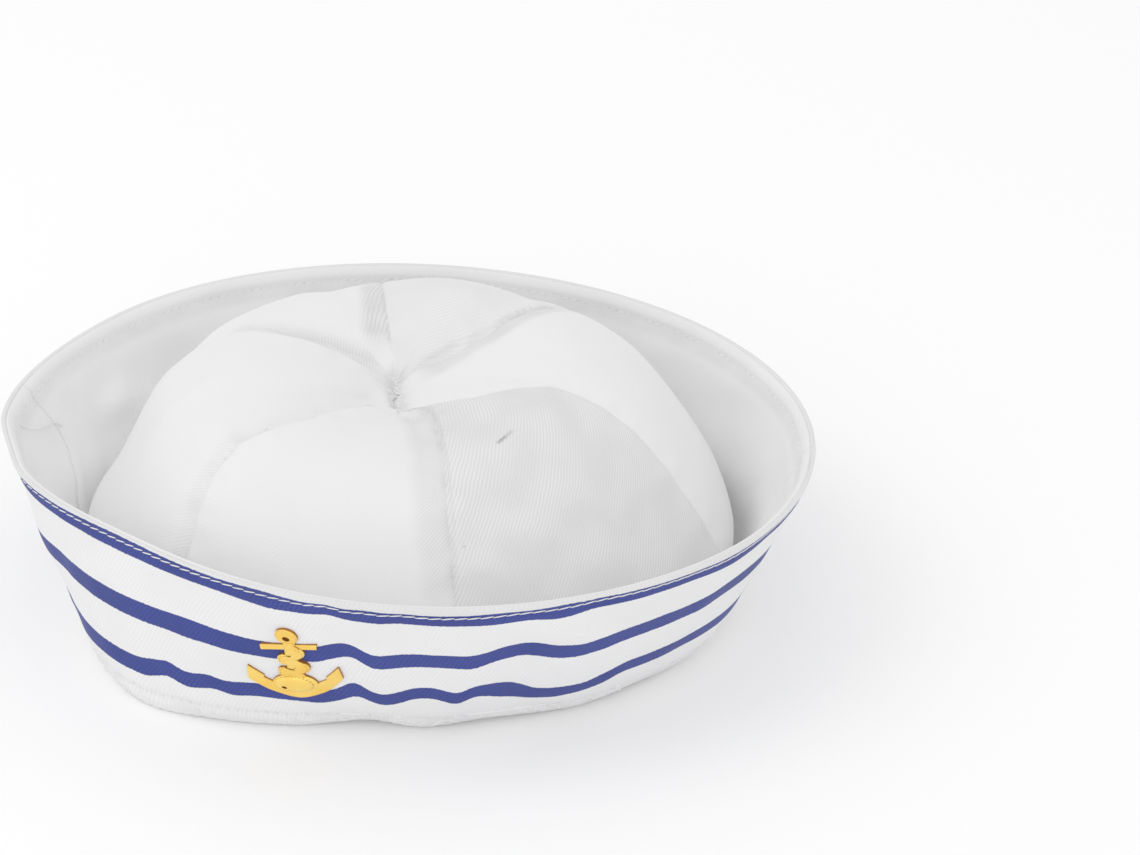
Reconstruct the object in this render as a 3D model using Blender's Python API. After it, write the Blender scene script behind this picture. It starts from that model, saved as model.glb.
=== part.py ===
"""Captain hat: a six-gore cloth crown inside a turned-up striped brim, with a gold anchor badge.

Metres, +Z up. The hat stands by itself on the folded lower edge of its brim, at z = 0.
The wearer faces -Y, so the badge is at -Y and the brim's side seams are at +X and -X.
Angles go anticlockwise from +X, seen from above, so the front is at 270 degrees.
"""
import math

import bmesh
import bpy
from mathutils import Vector

# Brim: outline at the floor and at the rim, height, the roll of its folded lower edge,
# and how far its side seams lie round from +X and -X, in degrees
BASE_WIDTH = 0.202
BASE_DEPTH = 0.180
BASE_SQUARENESS = 2.15
RIM_WIDTH = 0.252
RIM_DEPTH = 0.209
RIM_SQUARENESS = 2.0
BRIM_HEIGHT = 0.0595
ROLL_DEPTH = 0.006
ROLL_HEIGHT = 0.012
SEAM_TURN = 12

# Cloth
OUTER_CLOTH = 0.0010
FACING_CLOTH = 0.0010
CROWN_CLOTH = 0.0015
CLEARANCE = 0.0003

# Crown
CROWN_HEIGHT = 0.098
CROWN_SQUARENESS = 2.35
DIMPLE_DEPTH = 0.026
DIMPLE_RADIUS = 0.031
GORE_PUFF = 0.0016
APEX_SHIFT = 0.005
CROWN_DENT_FADE = 0.6
CROWN_LEAN = 0.75
CROWN_LEAN_HEIGHT = 0.048

# Badge: a flat anchor with a sewing eye in its head and another in its boss.
# The rope's lift, rise and arch are shares of the plate's thickness, its strand depth of its radius.
BADGE_WIDTH = 0.0294
BADGE_HEIGHT = 0.0268
BADGE_MIDDLE = 0.0313
BADGE_ASIDE = 0.0029
BADGE_TURN = 10.0
PLATE_THICKNESS = 0.0017
PLATE_BEVEL = 0.0004
HEAD_WIDTH = 0.0068
HEAD_HEIGHT = 0.0062
STOCK_LENGTH = 0.0180
STOCK_WIDTH = 0.0018
SHANK_WIDTH = 0.0030
BOSS_WIDTH = 0.0142
BOSS_HEIGHT = 0.0068
BOSS_RELIEF = 0.0027
ROPE_THICKNESS = 0.0024
ROPE_STRAND = 0.0012
ROPE_LIFT = 0.62
ROPE_RISE = 0.17
ROPE_ARCH = 0.5
ROPE_STRAND_DEPTH = 0.06
ROPE_TURN_ROUND = 0.75
SEWING_HOLE = 0.0021

# Where the standing cloth is pushed out or in.
# Columns: middle (degrees), half width (degrees), share of the floor radius, share of the rim radius
BRIM_DENTS = [
    (238, 45, 0.18, 0.00),
    (315, 60, -0.075, 0.01),
    (208, 38, 0.00, 0.07),
    (285, 50, 0.00, 0.025),
]

# Where the crown's top sags.
# Columns: middle (degrees), half width (degrees), share of the crown's height
CROWN_SAGS = [
    (285, 100, 0.155),
    (0, 60, 0.03),
    (180, 60, 0.035),
]
SAG_SPREAD = 0.7

# Inner edge of one arm, from the middle out to its fluke's point.
# Columns: share of the badge's half width, share of its height above the lowest point
ARM_INNER_EDGE = [
    (0.00, 0.135),
    (0.27, 0.170),
    (0.49, 0.230),
    (0.61, 0.275),
    (0.68, 0.310),
    (0.665, 0.340),
    (0.96, 0.455),
]
ARM_CORNER = (1.00, 0.290)

# Turns of the rope down the shank.
# Columns: share of the badge's half width, share of its height above the lowest point
ROPE_TURNS = [
    (0.00, 0.715),
    (0.205, 0.655),
    (-0.19, 0.560),
    (0.30, 0.465),
    (-0.22, 0.385),
    (0.10, 0.300),
]

GORES = 6
STEP = 6
BRIM_ROWS = [0.0, 0.25, 0.6, 1.0]
BRIM_STRIPS = 3
CROWN_ROWS = 13


def bump(angle, middle, half_width):
    """A soft hump, 1 at its middle and 0 at its ends."""
    off = (angle - middle + 180) % 360 - 180
    if abs(off) >= half_width:
        return 0.0
    return math.cos(math.pi / 2 * off / half_width) ** 2


def oval(angle, half_width, half_depth, squareness):
    """Radius of a rounded oval at an angle in degrees."""
    a = math.radians(angle)
    across = (abs(math.cos(a)) / half_width) ** squareness
    along = (abs(math.sin(a)) / half_depth) ** squareness
    return (across + along) ** (-1 / squareness)


def floor_radius(angle, strength=1.0):
    """Radius at the floor of the brim's straight wall, before the roll takes it in."""
    share = 1 + strength * sum(row[2] * bump(angle, row[0], row[1]) for row in BRIM_DENTS)
    return oval(angle, BASE_WIDTH / 2, BASE_DEPTH / 2, BASE_SQUARENESS) * share


def rim_radius(angle):
    share = 1 + sum(row[3] * bump(angle, row[0], row[1]) for row in BRIM_DENTS)
    return oval(angle, RIM_WIDTH / 2, RIM_DEPTH / 2, RIM_SQUARENESS) * share


def roll(height):
    """How far the folded lower edge is rolled in at a height."""
    return ROLL_DEPTH * max(0.0, 1 - height / ROLL_HEIGHT) ** 2


def wall_radius(angle, height):
    """Outside of the brim."""
    low = floor_radius(angle)
    return low + (rim_radius(angle) - low) * height / BRIM_HEIGHT - roll(height)


def slope_factor(angle, height):
    """Width of a level cut through a cloth, over the cloth's thickness."""
    slope = (rim_radius(angle) - floor_radius(angle)) / BRIM_HEIGHT
    slope += 2 * ROLL_DEPTH / ROLL_HEIGHT * max(0.0, 1 - height / ROLL_HEIGHT)
    return math.hypot(1, slope)


def rim_centre():
    """Middle of the rim's box, which is the origin's place in plan."""
    xs = []
    ys = []
    for angle in range(0, 360, STEP):
        a = math.radians(angle)
        xs.append(rim_radius(angle) * math.cos(a))
        ys.append(rim_radius(angle) * math.sin(a))
    return (max(xs) + min(xs)) / 2, (max(ys) + min(ys)) / 2


CENTRE = rim_centre()


def at(angle, radius, height, aside=0.0):
    """Point at a polar place, moved aside by a length square to the radius."""
    a = math.radians(angle)
    x = radius * math.cos(a) - aside * math.sin(a) - CENTRE[0]
    y = radius * math.sin(a) + aside * math.cos(a) - CENTRE[1]
    return Vector((x, y, height))


def brim_layer(angle, height, depth):
    """Radius of a layer that lies a depth inside the brim's outside."""
    return wall_radius(angle, height) - depth * slope_factor(angle, height)


def crown_profile(angle, share, puff):
    """Radius, height and apex share of the crown's outside, share 0 at the floor and 1 at the apex."""
    turn = share * math.pi / 2
    dome = CROWN_HEIGHT * math.sin(turn) ** (2 / CROWN_SQUARENESS)
    fade = CROWN_DENT_FADE * min(dome / BRIM_HEIGHT, 1.0)
    inset = (OUTER_CLOTH + FACING_CLOTH + 2 * CLEARANCE) * slope_factor(angle, 0)
    flare = max(rim_radius(angle) - floor_radius(angle), 0.0) / BRIM_HEIGHT
    lean = CROWN_LEAN * flare * dome * max(1 - (dome / CROWN_LEAN_HEIGHT) ** 2, 0.0)
    base = floor_radius(angle, 1 - fade) - inset + lean
    out = max(math.cos(turn), 0.0) ** (2 / CROWN_SQUARENESS)
    height = dome - DIMPLE_DEPTH * math.exp(-(out * BASE_DEPTH / 2 / DIMPLE_RADIUS) ** 2)
    sag = sum(row[2] * bump(angle, row[0], row[1]) for row in CROWN_SAGS)
    height -= sag * CROWN_HEIGHT * math.sin(math.pi * out ** SAG_SPREAD) ** 2
    puffed = GORE_PUFF * puff * math.sin(math.pi * out)
    height = max(height + puffed, 0.0)
    radius = (base + puffed) * out - roll(height)
    return radius, height, 1 - out


def crown_point(angle, share, puff, depth, aside):
    """Point of the crown at a depth inside its outside, measured square to the cloth."""
    step = 0.004
    radius, height, shift = crown_profile(angle, share, puff)
    before = crown_profile(angle, max(share - step, 0.0), puff)
    after = crown_profile(angle, min(share + step, 1.0), puff)
    along = Vector((after[0] - before[0], after[1] - before[1]))
    along.normalize()
    inner_radius = radius - along.y * depth
    inner_height = height + along.x * depth
    if share == 0:
        inner_radius = radius - depth * slope_factor(angle, 0)
        inner_height = 0.0
    point = at(angle, inner_radius, inner_height, aside)
    point.x -= APEX_SHIFT * shift
    return point


def material(name, colour, roughness, metallic):
    """A Principled material from a plain linear colour."""
    mat = bpy.data.materials.new(name)
    mat.use_nodes = True
    shader = mat.node_tree.nodes["Principled BSDF"]
    shader.inputs["Base Color"].default_value = (*colour, 1.0)
    shader.inputs["Roughness"].default_value = roughness
    shader.inputs["Metallic"].default_value = metallic
    return mat


def finish(name, bm, mat, smooth=40):
    """Turn a bmesh into a named object with its material, shaded smooth up to an angle."""
    bmesh.ops.recalc_face_normals(bm, faces=bm.faces[:])
    if bm.calc_volume(signed=True) < 0:
        bmesh.ops.reverse_faces(bm, faces=bm.faces[:])
    mesh = bpy.data.meshes.new(name)
    bm.to_mesh(mesh)
    bm.free()
    mesh.shade_smooth()
    mesh.set_sharp_from_angle(angle=math.radians(smooth))
    mesh.materials.append(mat)
    obj = bpy.data.objects.new(name, mesh)
    bpy.context.scene.collection.objects.link(obj)
    return obj


def cloth_panel(name, outside, inside, mat):
    """A closed cloth panel between two grids of points of the same size."""
    bm = bmesh.new()
    out = [[bm.verts.new(point) for point in row] for row in outside]
    ins = [[bm.verts.new(point) for point in row] for row in inside]
    rows = len(out)
    columns = len(out[0])
    for grid in (out, ins):
        for i in range(rows - 1):
            for j in range(columns - 1):
                bm.faces.new((grid[i][j], grid[i][j + 1], grid[i + 1][j + 1], grid[i + 1][j]))
    for j in range(columns - 1):
        bm.faces.new((out[0][j], ins[0][j], ins[0][j + 1], out[0][j + 1]))
        bm.faces.new((out[-1][j], out[-1][j + 1], ins[-1][j + 1], ins[-1][j]))
    for i in range(rows - 1):
        bm.faces.new((out[i][0], out[i + 1][0], ins[i + 1][0], ins[i][0]))
        bm.faces.new((out[i][-1], ins[i][-1], ins[i + 1][-1], out[i + 1][-1]))
    return finish(name, bm, mat)


def brim_heights():
    """Heights of the brim's rows: close together in the roll, wider above it."""
    low = [ROLL_HEIGHT * row for row in BRIM_ROWS]
    above = BRIM_HEIGHT - ROLL_HEIGHT
    return low + [ROLL_HEIGHT + above * (i + 1) / BRIM_STRIPS for i in range(BRIM_STRIPS)]


def brim_half(name, start, depth, thickness, mat):
    """Half of one of the brim's two cloths, between the side seams."""
    outside = []
    inside = []
    columns = 180 // STEP
    for height in brim_heights():
        outer_row = []
        inner_row = []
        for j in range(columns + 1):
            angle = start + j * STEP
            aside = CLEARANCE / 2 * (1 - 2 * j / columns)
            outer_row.append(at(angle, brim_layer(angle, height, depth), height, aside))
            inner = brim_layer(angle, height, depth + thickness)
            inner_row.append(at(angle, inner, height, aside))
        outside.append(outer_row)
        inside.append(inner_row)
    return cloth_panel(name, outside, inside, mat)


def crown_gore(name, index, mat):
    """One of the crown's six panels, from the floor to the apex."""
    span = 360 // GORES
    columns = span // STEP
    start = index * span
    outside = []
    inside = []
    tip = math.acos((4 * CLEARANCE / BASE_DEPTH) ** (CROWN_SQUARENESS / 2)) * 2 / math.pi
    for i in range(CROWN_ROWS + 1):
        share = tip * math.sin(math.pi / 2 * i / CROWN_ROWS)
        outer_row = []
        inner_row = []
        for j in range(columns + 1):
            angle = start + j * STEP
            along = j / columns
            aside = CLEARANCE / 2 * (1 - 2 * along)
            puff = math.sin(math.pi * along)
            outer_row.append(crown_point(angle, share, puff, 0.0, aside))
            inner_row.append(crown_point(angle, share, puff, CROWN_CLOTH, aside))
        outside.append(outer_row)
        inside.append(inner_row)
    return cloth_panel(name, outside, inside, mat)


def tube(bm, points, radii, sides=8):
    """A round tube along points of the badge, which lies in its own x, y plane."""
    rings = []
    count = len(points)
    for i, point in enumerate(points):
        along = (points[min(i + 1, count - 1)] - points[max(i - 1, 0)]).normalized()
        side = along.cross(Vector((0, 0, 1))).normalized()
        up = side.cross(along)
        ring = []
        for k in range(sides):
            turn = 2 * math.pi * (k + 0.5) / sides
            offset = side * math.cos(turn) + up * math.sin(turn)
            ring.append(bm.verts.new(point + offset * radii[i]))
        rings.append(ring)
    for i in range(count - 1):
        for k in range(sides):
            m = (k + 1) % sides
            bm.faces.new((rings[i][k], rings[i][m], rings[i + 1][m], rings[i + 1][k]))
    bm.faces.new(rings[0])
    bm.faces.new(rings[-1])


def plate(bm, outline, thickness):
    """A flat outline made solid from a little below the badge's back, with bevelled upper edges."""
    face = bm.faces.new([bm.verts.new((x, y, -thickness / 2)) for x, y in outline])
    side = bmesh.ops.extrude_face_region(bm, geom=[face])["geom"]
    upper = [item for item in side if isinstance(item, bmesh.types.BMVert)]
    bmesh.ops.translate(bm, verts=upper, vec=(0, 0, thickness * 1.5))
    raised = set(upper)
    edges = [edge for edge in bm.edges if edge.verts[0] in raised and edge.verts[1] in raised]
    bmesh.ops.bevel(bm, geom=edges, offset=PLATE_BEVEL, segments=1, affect="EDGES")


def badge_shape(build):
    """A temporary object from one badge shape, for the union below."""
    bm = bmesh.new()
    build(bm)
    bmesh.ops.recalc_face_normals(bm, faces=bm.faces[:])
    if bm.calc_volume(signed=True) < 0:
        bmesh.ops.reverse_faces(bm, faces=bm.faces[:])
    mesh = bpy.data.meshes.new("badge_shape")
    bm.to_mesh(mesh)
    bm.free()
    obj = bpy.data.objects.new("badge_shape", mesh)
    bpy.context.scene.collection.objects.link(obj)
    return obj


def badge_y(share):
    """Height on the badge from a share above its lowest point."""
    return (share - 0.5) * BADGE_HEIGHT


def head_middle():
    return BADGE_HEIGHT / 2 - HEAD_HEIGHT / 2


def stock_middle():
    return BADGE_HEIGHT / 2 - HEAD_HEIGHT - STOCK_WIDTH / 2


def boss_middle():
    return badge_y(ARM_INNER_EDGE[0][1]) + BOSS_HEIGHT * 0.38


def oval_outline(x, y, half_width, half_height, count):
    turns = [2 * math.pi * k / count for k in range(count)]
    return [(x + half_width * math.cos(a), y + half_height * math.sin(a)) for a in turns]


def badge_head(bm):
    plate(bm, oval_outline(0, head_middle(), HEAD_WIDTH / 2, HEAD_HEIGHT / 2, 24), PLATE_THICKNESS)


def badge_stock(bm):
    x = STOCK_LENGTH / 2
    low = stock_middle() - STOCK_WIDTH / 2
    high = low + STOCK_WIDTH
    plate(bm, [(-x, low), (x, low), (x, high), (-x, high)], PLATE_THICKNESS * 0.9)


def badge_shank(bm):
    low = badge_y(ARM_INNER_EDGE[0][1] * 0.6)
    high = head_middle()
    half = SHANK_WIDTH / 2
    outline = [(-half * 1.2, low), (half * 1.2, low), (half * 0.8, high), (-half * 0.8, high)]
    plate(bm, outline, PLATE_THICKNESS * 1.05)


def badge_arms(bm):
    """Both arms in one crescent: a round outer edge, a stepped inner edge, flukes cut square."""
    half = BADGE_WIDTH / 2
    inner = [(half * x, badge_y(y)) for x, y in ARM_INNER_EDGE]
    reach = half * ARM_CORNER[0]
    rise = BADGE_HEIGHT * ARM_CORNER[1]
    radius = (reach ** 2 + rise ** 2) / (2 * rise)
    span = math.asin(reach / radius)
    outer = []
    for i in range(25):
        a = span * (1 - i / 12)
        outer.append((radius * math.sin(a), -BADGE_HEIGHT / 2 + radius * (1 - math.cos(a))))
    mirrored = [(-x, y) for x, y in reversed(inner[1:])]
    plate(bm, inner + outer + mirrored, PLATE_THICKNESS)


def badge_boss(bm):
    """The low oval boss where the shank meets the arms, where the rope ends."""
    rings = []
    for i in range(6):
        a = math.pi / 2 * (0.94 - i / 6.7)
        half = (BOSS_WIDTH / 2 * math.sin(a), BOSS_HEIGHT / 2 * math.sin(a))
        points = oval_outline(0, boss_middle(), half[0], half[1], 20)
        rings.append([bm.verts.new((x, y, BOSS_RELIEF * math.cos(a))) for x, y in points])
    foot = oval_outline(0, boss_middle(), BOSS_WIDTH / 2, BOSS_HEIGHT / 2, 20)
    rings.insert(0, [bm.verts.new((x, y, -BOSS_RELIEF / 2)) for x, y in foot])
    for lower, upper in zip(rings, rings[1:]):
        for k in range(20):
            m = (k + 1) % 20
            bm.faces.new((lower[k], lower[m], upper[m], upper[k]))
    bm.faces.new(rings[0])
    bm.faces.new(rings[-1])


def badge_rope(start, end):
    """One pass of the rope across the front of the shank, in raised strands with rounded turns."""
    half = BADGE_WIDTH / 2
    x0, y0 = half * start[0], badge_y(start[1])
    x1, y1 = half * end[0], badge_y(end[1])
    length = math.hypot(x1 - x0, y1 - y0)

    def build(bm):
        points = []
        radii = []
        count = max(round(length / ROPE_STRAND * 3), 6)
        for i in range(count + 1):
            along = i / count
            arch = ROPE_RISE * along + ROPE_ARCH * math.sin(math.pi * along)
            lift = PLATE_THICKNESS * (ROPE_LIFT + arch)
            points.append(Vector((x0 + (x1 - x0) * along, y0 + (y1 - y0) * along, lift)))
            strand = 1 + ROPE_STRAND_DEPTH * math.cos(2 * math.pi * i / 3)
            near_end = min(along, 1 - along) * length / (ROPE_THICKNESS / 2)
            turn = math.sqrt(1 - max(ROPE_TURN_ROUND - near_end, 0) ** 2)
            radii.append(ROPE_THICKNESS / 2 * strand * turn)
        tube(bm, points, radii)
    return build


def badge_hole(x, y):
    """A round pin through the whole badge, taken away from it for a sewing eye."""
    outline = oval_outline(x, y, SEWING_HOLE / 2, SEWING_HOLE / 2, 12)
    reach = 5 * PLATE_THICKNESS

    def build(bm):
        low = [bm.verts.new((*point, -reach)) for point in outline]
        high = [bm.verts.new((*point, reach)) for point in outline]
        bm.faces.new(low)
        bm.faces.new(high)
        for k in range(12):
            m = (k + 1) % 12
            bm.faces.new((low[k], low[m], high[m], high[k]))
    return build


def badge_back(bm):
    """Everything behind the badge's flat back."""
    bmesh.ops.create_cube(bm, size=1)
    deep = 10 * PLATE_THICKNESS
    bmesh.ops.scale(bm, verts=bm.verts[:], vec=(2 * BADGE_WIDTH, 2 * BADGE_HEIGHT, deep))
    bmesh.ops.translate(bm, verts=bm.verts[:], vec=(0, 0, -deep / 2))


def badge_place(point):
    """Carries a point of the flat badge to its place on the brim's front wall, at 270 degrees."""
    turn = math.radians(BADGE_TURN)
    nearby = CLEARANCE
    x = point.x * math.cos(turn) - point.y * math.sin(turn) + BADGE_ASIDE
    y = point.x * math.sin(turn) + point.y * math.cos(turn)
    degree = math.radians(1) * wall_radius(270, BADGE_MIDDLE)
    angle = 270 + x / degree
    height = BADGE_MIDDLE + y / slope_factor(270, BADGE_MIDDLE)
    here = at(angle, wall_radius(angle, height), height)
    next_angle = angle + nearby / degree
    beside = at(next_angle, wall_radius(next_angle, height), height)
    above = at(angle, wall_radius(angle, height + nearby), height + nearby)
    out = (beside - here).cross(above - here).normalized()
    return here + out * (CLEARANCE + point.z)


def anchor_badge(mat):
    """Union of the anchor's shapes, with its sewing eyes cut through, flat behind, bent to the brim."""
    shapes = [badge_arms, badge_shank, badge_stock, badge_head, badge_boss]
    shapes += [badge_rope(start, end) for start, end in zip(ROPE_TURNS, ROPE_TURNS[1:])]
    pieces = [badge_shape(build) for build in shapes]
    eyes = ((0.0, head_middle()), (-BOSS_WIDTH * 0.22, boss_middle()))
    holes = [badge_shape(badge_hole(x, y)) for x, y in eyes] + [badge_shape(badge_back)]
    body = pieces[0]
    for other in pieces[1:] + holes:
        step = body.modifiers.new("step", "BOOLEAN")
        step.operation = "DIFFERENCE" if other in holes else "UNION"
        step.solver = "EXACT"
        step.object = other
    graph = bpy.context.evaluated_depsgraph_get()
    joined = bpy.data.meshes.new_from_object(body.evaluated_get(graph))
    for obj in pieces + holes:
        bpy.data.objects.remove(obj)
    bm = bmesh.new()
    bm.from_mesh(joined)
    bpy.data.meshes.remove(joined)
    bmesh.ops.triangulate(bm, faces=bm.faces[:])
    for vert in bm.verts:
        vert.co = badge_place(vert.co)
    return finish("anchor_badge", bm, mat, 35)


def build():
    for obj in list(bpy.data.objects):
        bpy.data.objects.remove(obj)
    striped = material("striped_cotton_twill", (0.62, 0.63, 0.68), 0.85, 0.0)
    white = material("white_cotton_twill", (0.80, 0.80, 0.80), 0.85, 0.0)
    gold = material("gold_plated_badge", (0.83, 0.52, 0.13), 0.32, 1.0)
    facing_depth = OUTER_CLOTH + CLEARANCE
    left = 180 + SEAM_TURN
    right = SEAM_TURN
    brim_half("brim_outer_front", left, 0.0, OUTER_CLOTH, striped)
    brim_half("brim_outer_back", right, 0.0, OUTER_CLOTH, striped)
    brim_half("brim_facing_front", left, facing_depth, FACING_CLOTH, white)
    brim_half("brim_facing_back", right, facing_depth, FACING_CLOTH, white)
    for index in range(GORES):
        crown_gore("crown_gore_%d" % (index + 1), index, white)
    anchor_badge(gold)


if __name__ == "__main__":
    build()
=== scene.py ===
"""Captain hat: the cloth, stitching and badge of the finished hat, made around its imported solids.

The file is laid out as an add-on and run as a script. Metres, +Z up. The hat stands on the floor
at z = 0, with its badge towards -Y. Angles go anticlockwise from +X, seen from above, in degrees,
so the front is at 270. Every form is measured on the solids, and every piece rides on their body.
"""
import math

import bmesh
import bpy
import numpy as np
from mathutils import Matrix, Vector
from mathutils.bvhtree import BVHTree


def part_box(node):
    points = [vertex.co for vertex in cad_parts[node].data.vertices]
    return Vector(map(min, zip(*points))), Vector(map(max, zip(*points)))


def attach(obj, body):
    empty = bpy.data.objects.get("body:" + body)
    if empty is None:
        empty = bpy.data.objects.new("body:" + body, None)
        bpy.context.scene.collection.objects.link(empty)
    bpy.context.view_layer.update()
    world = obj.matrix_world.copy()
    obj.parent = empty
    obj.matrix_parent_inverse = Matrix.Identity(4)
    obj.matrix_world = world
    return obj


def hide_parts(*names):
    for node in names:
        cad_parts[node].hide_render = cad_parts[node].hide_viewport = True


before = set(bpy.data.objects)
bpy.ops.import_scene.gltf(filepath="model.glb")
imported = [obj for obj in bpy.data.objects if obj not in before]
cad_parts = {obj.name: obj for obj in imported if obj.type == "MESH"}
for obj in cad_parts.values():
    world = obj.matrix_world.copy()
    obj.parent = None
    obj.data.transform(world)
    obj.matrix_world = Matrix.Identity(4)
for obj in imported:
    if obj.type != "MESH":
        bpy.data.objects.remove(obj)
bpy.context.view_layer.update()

bl_info = {
    "name": "Captain Hat",
    "version": (1, 0, 0),
    "blender": (4, 5, 0),
    "location": "View3D > Sidebar > Captain Hat",
    "description": "Builds the cloth, stitching and badge of a captain hat around its solids",
    "category": "Add Mesh",
}

MM = 0.001
BODY = "root"
OUTER_NODES = ("brim_outer_front", "brim_outer_back")
FACING_NODES = ("brim_facing_front", "brim_facing_back")
GORE_NODES = tuple("crown_gore_%d" % (index + 1) for index in range(6))
STRIPED_SLOT = "striped_cotton_twill"
WHITE_SLOT = "white_cotton_twill"

# Camera: the photo's width in pixels, where the camera stands, and how it looks
PHOTO_WIDTH = 1140
CAMERA_PLACE = (0.3435, -0.7702, 0.5364)
VIEW_TURN = 20.7
VIEW_RISE = 29.7
FOCAL_PIXELS = 3100
SENSOR_WIDTH = 36.0

# Stripes of the brim, counted from the rim.
# Columns: distance of the middle line from the rim (mm), width (mm)
STRIPES = [
    (4.3, 4.8),
    (24.3, 6.5),
    (42.7, 5.6),
]

# Where each stripe strays from its line, as sewn cloth does.
# Columns: angle (degrees), drop away from the rim (mm)
STRIPE_DROPS = [
    [(10, 0.3), (60, -0.3), (120, 0.3), (180, 0.0), (225, -0.9), (245, -1.2), (254, -1.1),
     (261, -0.8), (268, 0.0), (276, 0.6), (280, -0.5), (282, 0.9),
     (286, 0.6), (288, 1.2), (291.5, 0.4), (297, 1.2), (303, 1.1), (311, 0.2), (314, 0.5),
     (317, -0.2), (320, -1.2), (340, 0.4)],
    [(10, -0.5), (60, 0.4), (120, -0.4), (180, 0.3), (225, 0.2), (238, -0.1), (250, -0.8),
     (256, -0.3), (260, 0.4), (265, 1.0), (275.5, 1.0), (277, 0.2), (279, -1.5), (282, -3.4),
     (284, -1.8), (285, 0.8), (287, 2.0), (291, 0.5), (294, 0.2), (302.5, 2.6), (304.5, 1.2),
     (307, -1.3), (310.5, -3.1), (313, -1.9), (316, 1.2), (320, 3.0), (323, 2.1), (327, 0.5),
     (345, -0.8)],
    [(10, 0.6), (60, -0.5), (120, 0.5), (180, -0.4), (215, 0.4), (240, 1.1), (244, 0.9),
     (249, -2.0), (251, 0.0), (253, 0.4), (256.5, -1.2), (260, 0.4), (264.5, -0.6), (270, 0.4),
     (275.5, 1.7), (279, 0.0), (282.5, -3.6), (284, -1.6), (285.5, 0.9), (287.5, 2.1), (290, 0.9),
     (293, -1.5), (296, -1.6), (300.5, 2.9), (303.5, -0.9), (306, -1.0), (310, 0.2), (314, 4.2),
     (318, 6.0), (323, 5.9), (327, 3.0), (330, 0.4), (345, 0.8)],
]

# Where a stripe is printed wider or narrower than the rest of it.
# Columns: stripe, middle (degrees), half width (degrees), widening (mm)
STRIPE_WIDENINGS = [
    (0, 238, 14, 0.9),
    (0, 269, 9, 1.9),
    (0, 286, 5, 0.9),
    (0, 305, 6, 0.9),
    (0, 315, 5, 2.0),
    (0, 200, 20, 0.6),
    (1, 254, 7, 0.7),
    (1, 283, 3, -0.7),
    (1, 303, 3, 0.8),
    (2, 245, 3, 0.6),
    (2, 258, 3, -0.8),
    (2, 282, 4, 1.3),
    (2, 309, 6, 2.7),
    (2, 322, 5, -0.6),
]

# Where the brim's wall stands in or out from its even flare, by handling.
# Columns: angle, half width (degrees), height, half height (mm), outwards (mm)
WALL_BULGES = [
    (208, 9, 61, 8, -1.4),
    (217, 8, 35, 8, 1.9),
    (223, 6, 12, 5, -0.9),
]

# Where the foot ripples in and off the floor.
# Columns: middle (degrees), half width (degrees), inwards (mm), up (mm)
FOOT_RIPPLES = [
    (243, 11, -1.8, 0.0),
    (283, 13, 1.5, 1.1),
    (311, 22, 1.6, 1.3),
    (338, 14, 1.0, 0.6),
    (20, 14, 1.2, 0.8),
    (95, 18, 1.2, 0.9),
    (150, 12, 0.8, 0.5),
]

# Seams of the crown as seen from its heart, from the gathered middle down to the floor, a list for each.
# Columns: angle round (degrees), fall from the vertical (degrees)
CROWN_SEAMS = [
    [(260, 8.2), (318, 10.5), (344, 21), (0, 33), (2, 55), (2, 95)],
    [(166, 7.4), (110, 8), (71, 13), (55, 20.5), (57, 30), (60, 55), (60, 95)],
    [(166, 7.4), (136, 10.4), (131, 17), (126, 25), (122, 45), (121, 95)],
    [(166, 7.4), (170, 15.3), (180, 23.4), (186, 29.5), (183, 37), (181, 60), (181, 95)],
    [(260, 8.2), (244, 18.6), (247, 34), (241.5, 41.6), (238.5, 46), (240, 55), (243, 65), (244, 95)],
    [(260, 8.2), (306, 10), (312, 14), (307, 26), (304, 37.5), (302, 49), (301.5, 66), (301.5, 95)],
]
GATHER_ENDS = ((-6.7, 3.1), (-0.3, -7.2))

# Lines of the crown's folds, seen from above, from the middle outwards. Columns: x, y (mm)
FOLD_LINES = {
    "front lip": [(-1, -9), (-9, -19), (-17, -40), (-28, -51), (-35, -57)],
    "front-left seam": [(-31, -53), (-37, -64), (-39, -72), (-39, -77)],
    "front-right seam": [(5, -8), (11, -11), (19, -23), (28, -40), (36, -54), (41, -65), (44, -71)],
    "right hollow": [(44, -44), (46, -53), (44, -64)],
    "back-left seam": [(-9, 4), (-16, 4.5), (-28, 1.5), (-39, -3.5), (-50, -1.5), (-62, 0)],
    "back-right seam": [(-3, 8), (6, 16), (17, 24), (25, 37), (31, 48)],
    "back wedge": [(-28, 32), (-23, 24), (-16, 12)],
    "left pillow": [(-60, -30), (-50, -44)],
    "small crease": [(-26, -48.5), (-19, -49.5)],
    "back sag": [(-52, 30), (-30, 48), (-2, 56), (30, 50)],
    "gather": [(-8, 6), (-4, -1), (1, -9)],
}

# Sections of those folds, as seen when walking along their lines.
# Columns: fold, rise on the left (mm), its width, rise on the right (mm), its width, fade at ends
FOLD_SECTIONS = [
    ("front lip", 1.5, 12, -2.6, 9, 7),
    ("front-left seam", 0.3, 5, -0.7, 7, 8),
    ("front-right seam", 0.4, 6, -1.6, 8, 8),
    ("right hollow", -2.6, 10, -2.6, 10, 9),
    ("back-left seam", 1.3, 6, -2.6, 7, 8),
    ("back-right seam", 0.2, 4, -1.9, 8, 8),
    ("back wedge", -0.8, 4, -1.6, 7, 7),
    ("left pillow", 1.0, 16, 1.0, 16, 10),
    ("small crease", 0.3, 1.5, -0.6, 1.2, 2),
    ("back sag", -2.6, 24, -2.6, 24, 14),
    ("gather", 0.2, 4, -2.2, 7, 4),
]

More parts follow.
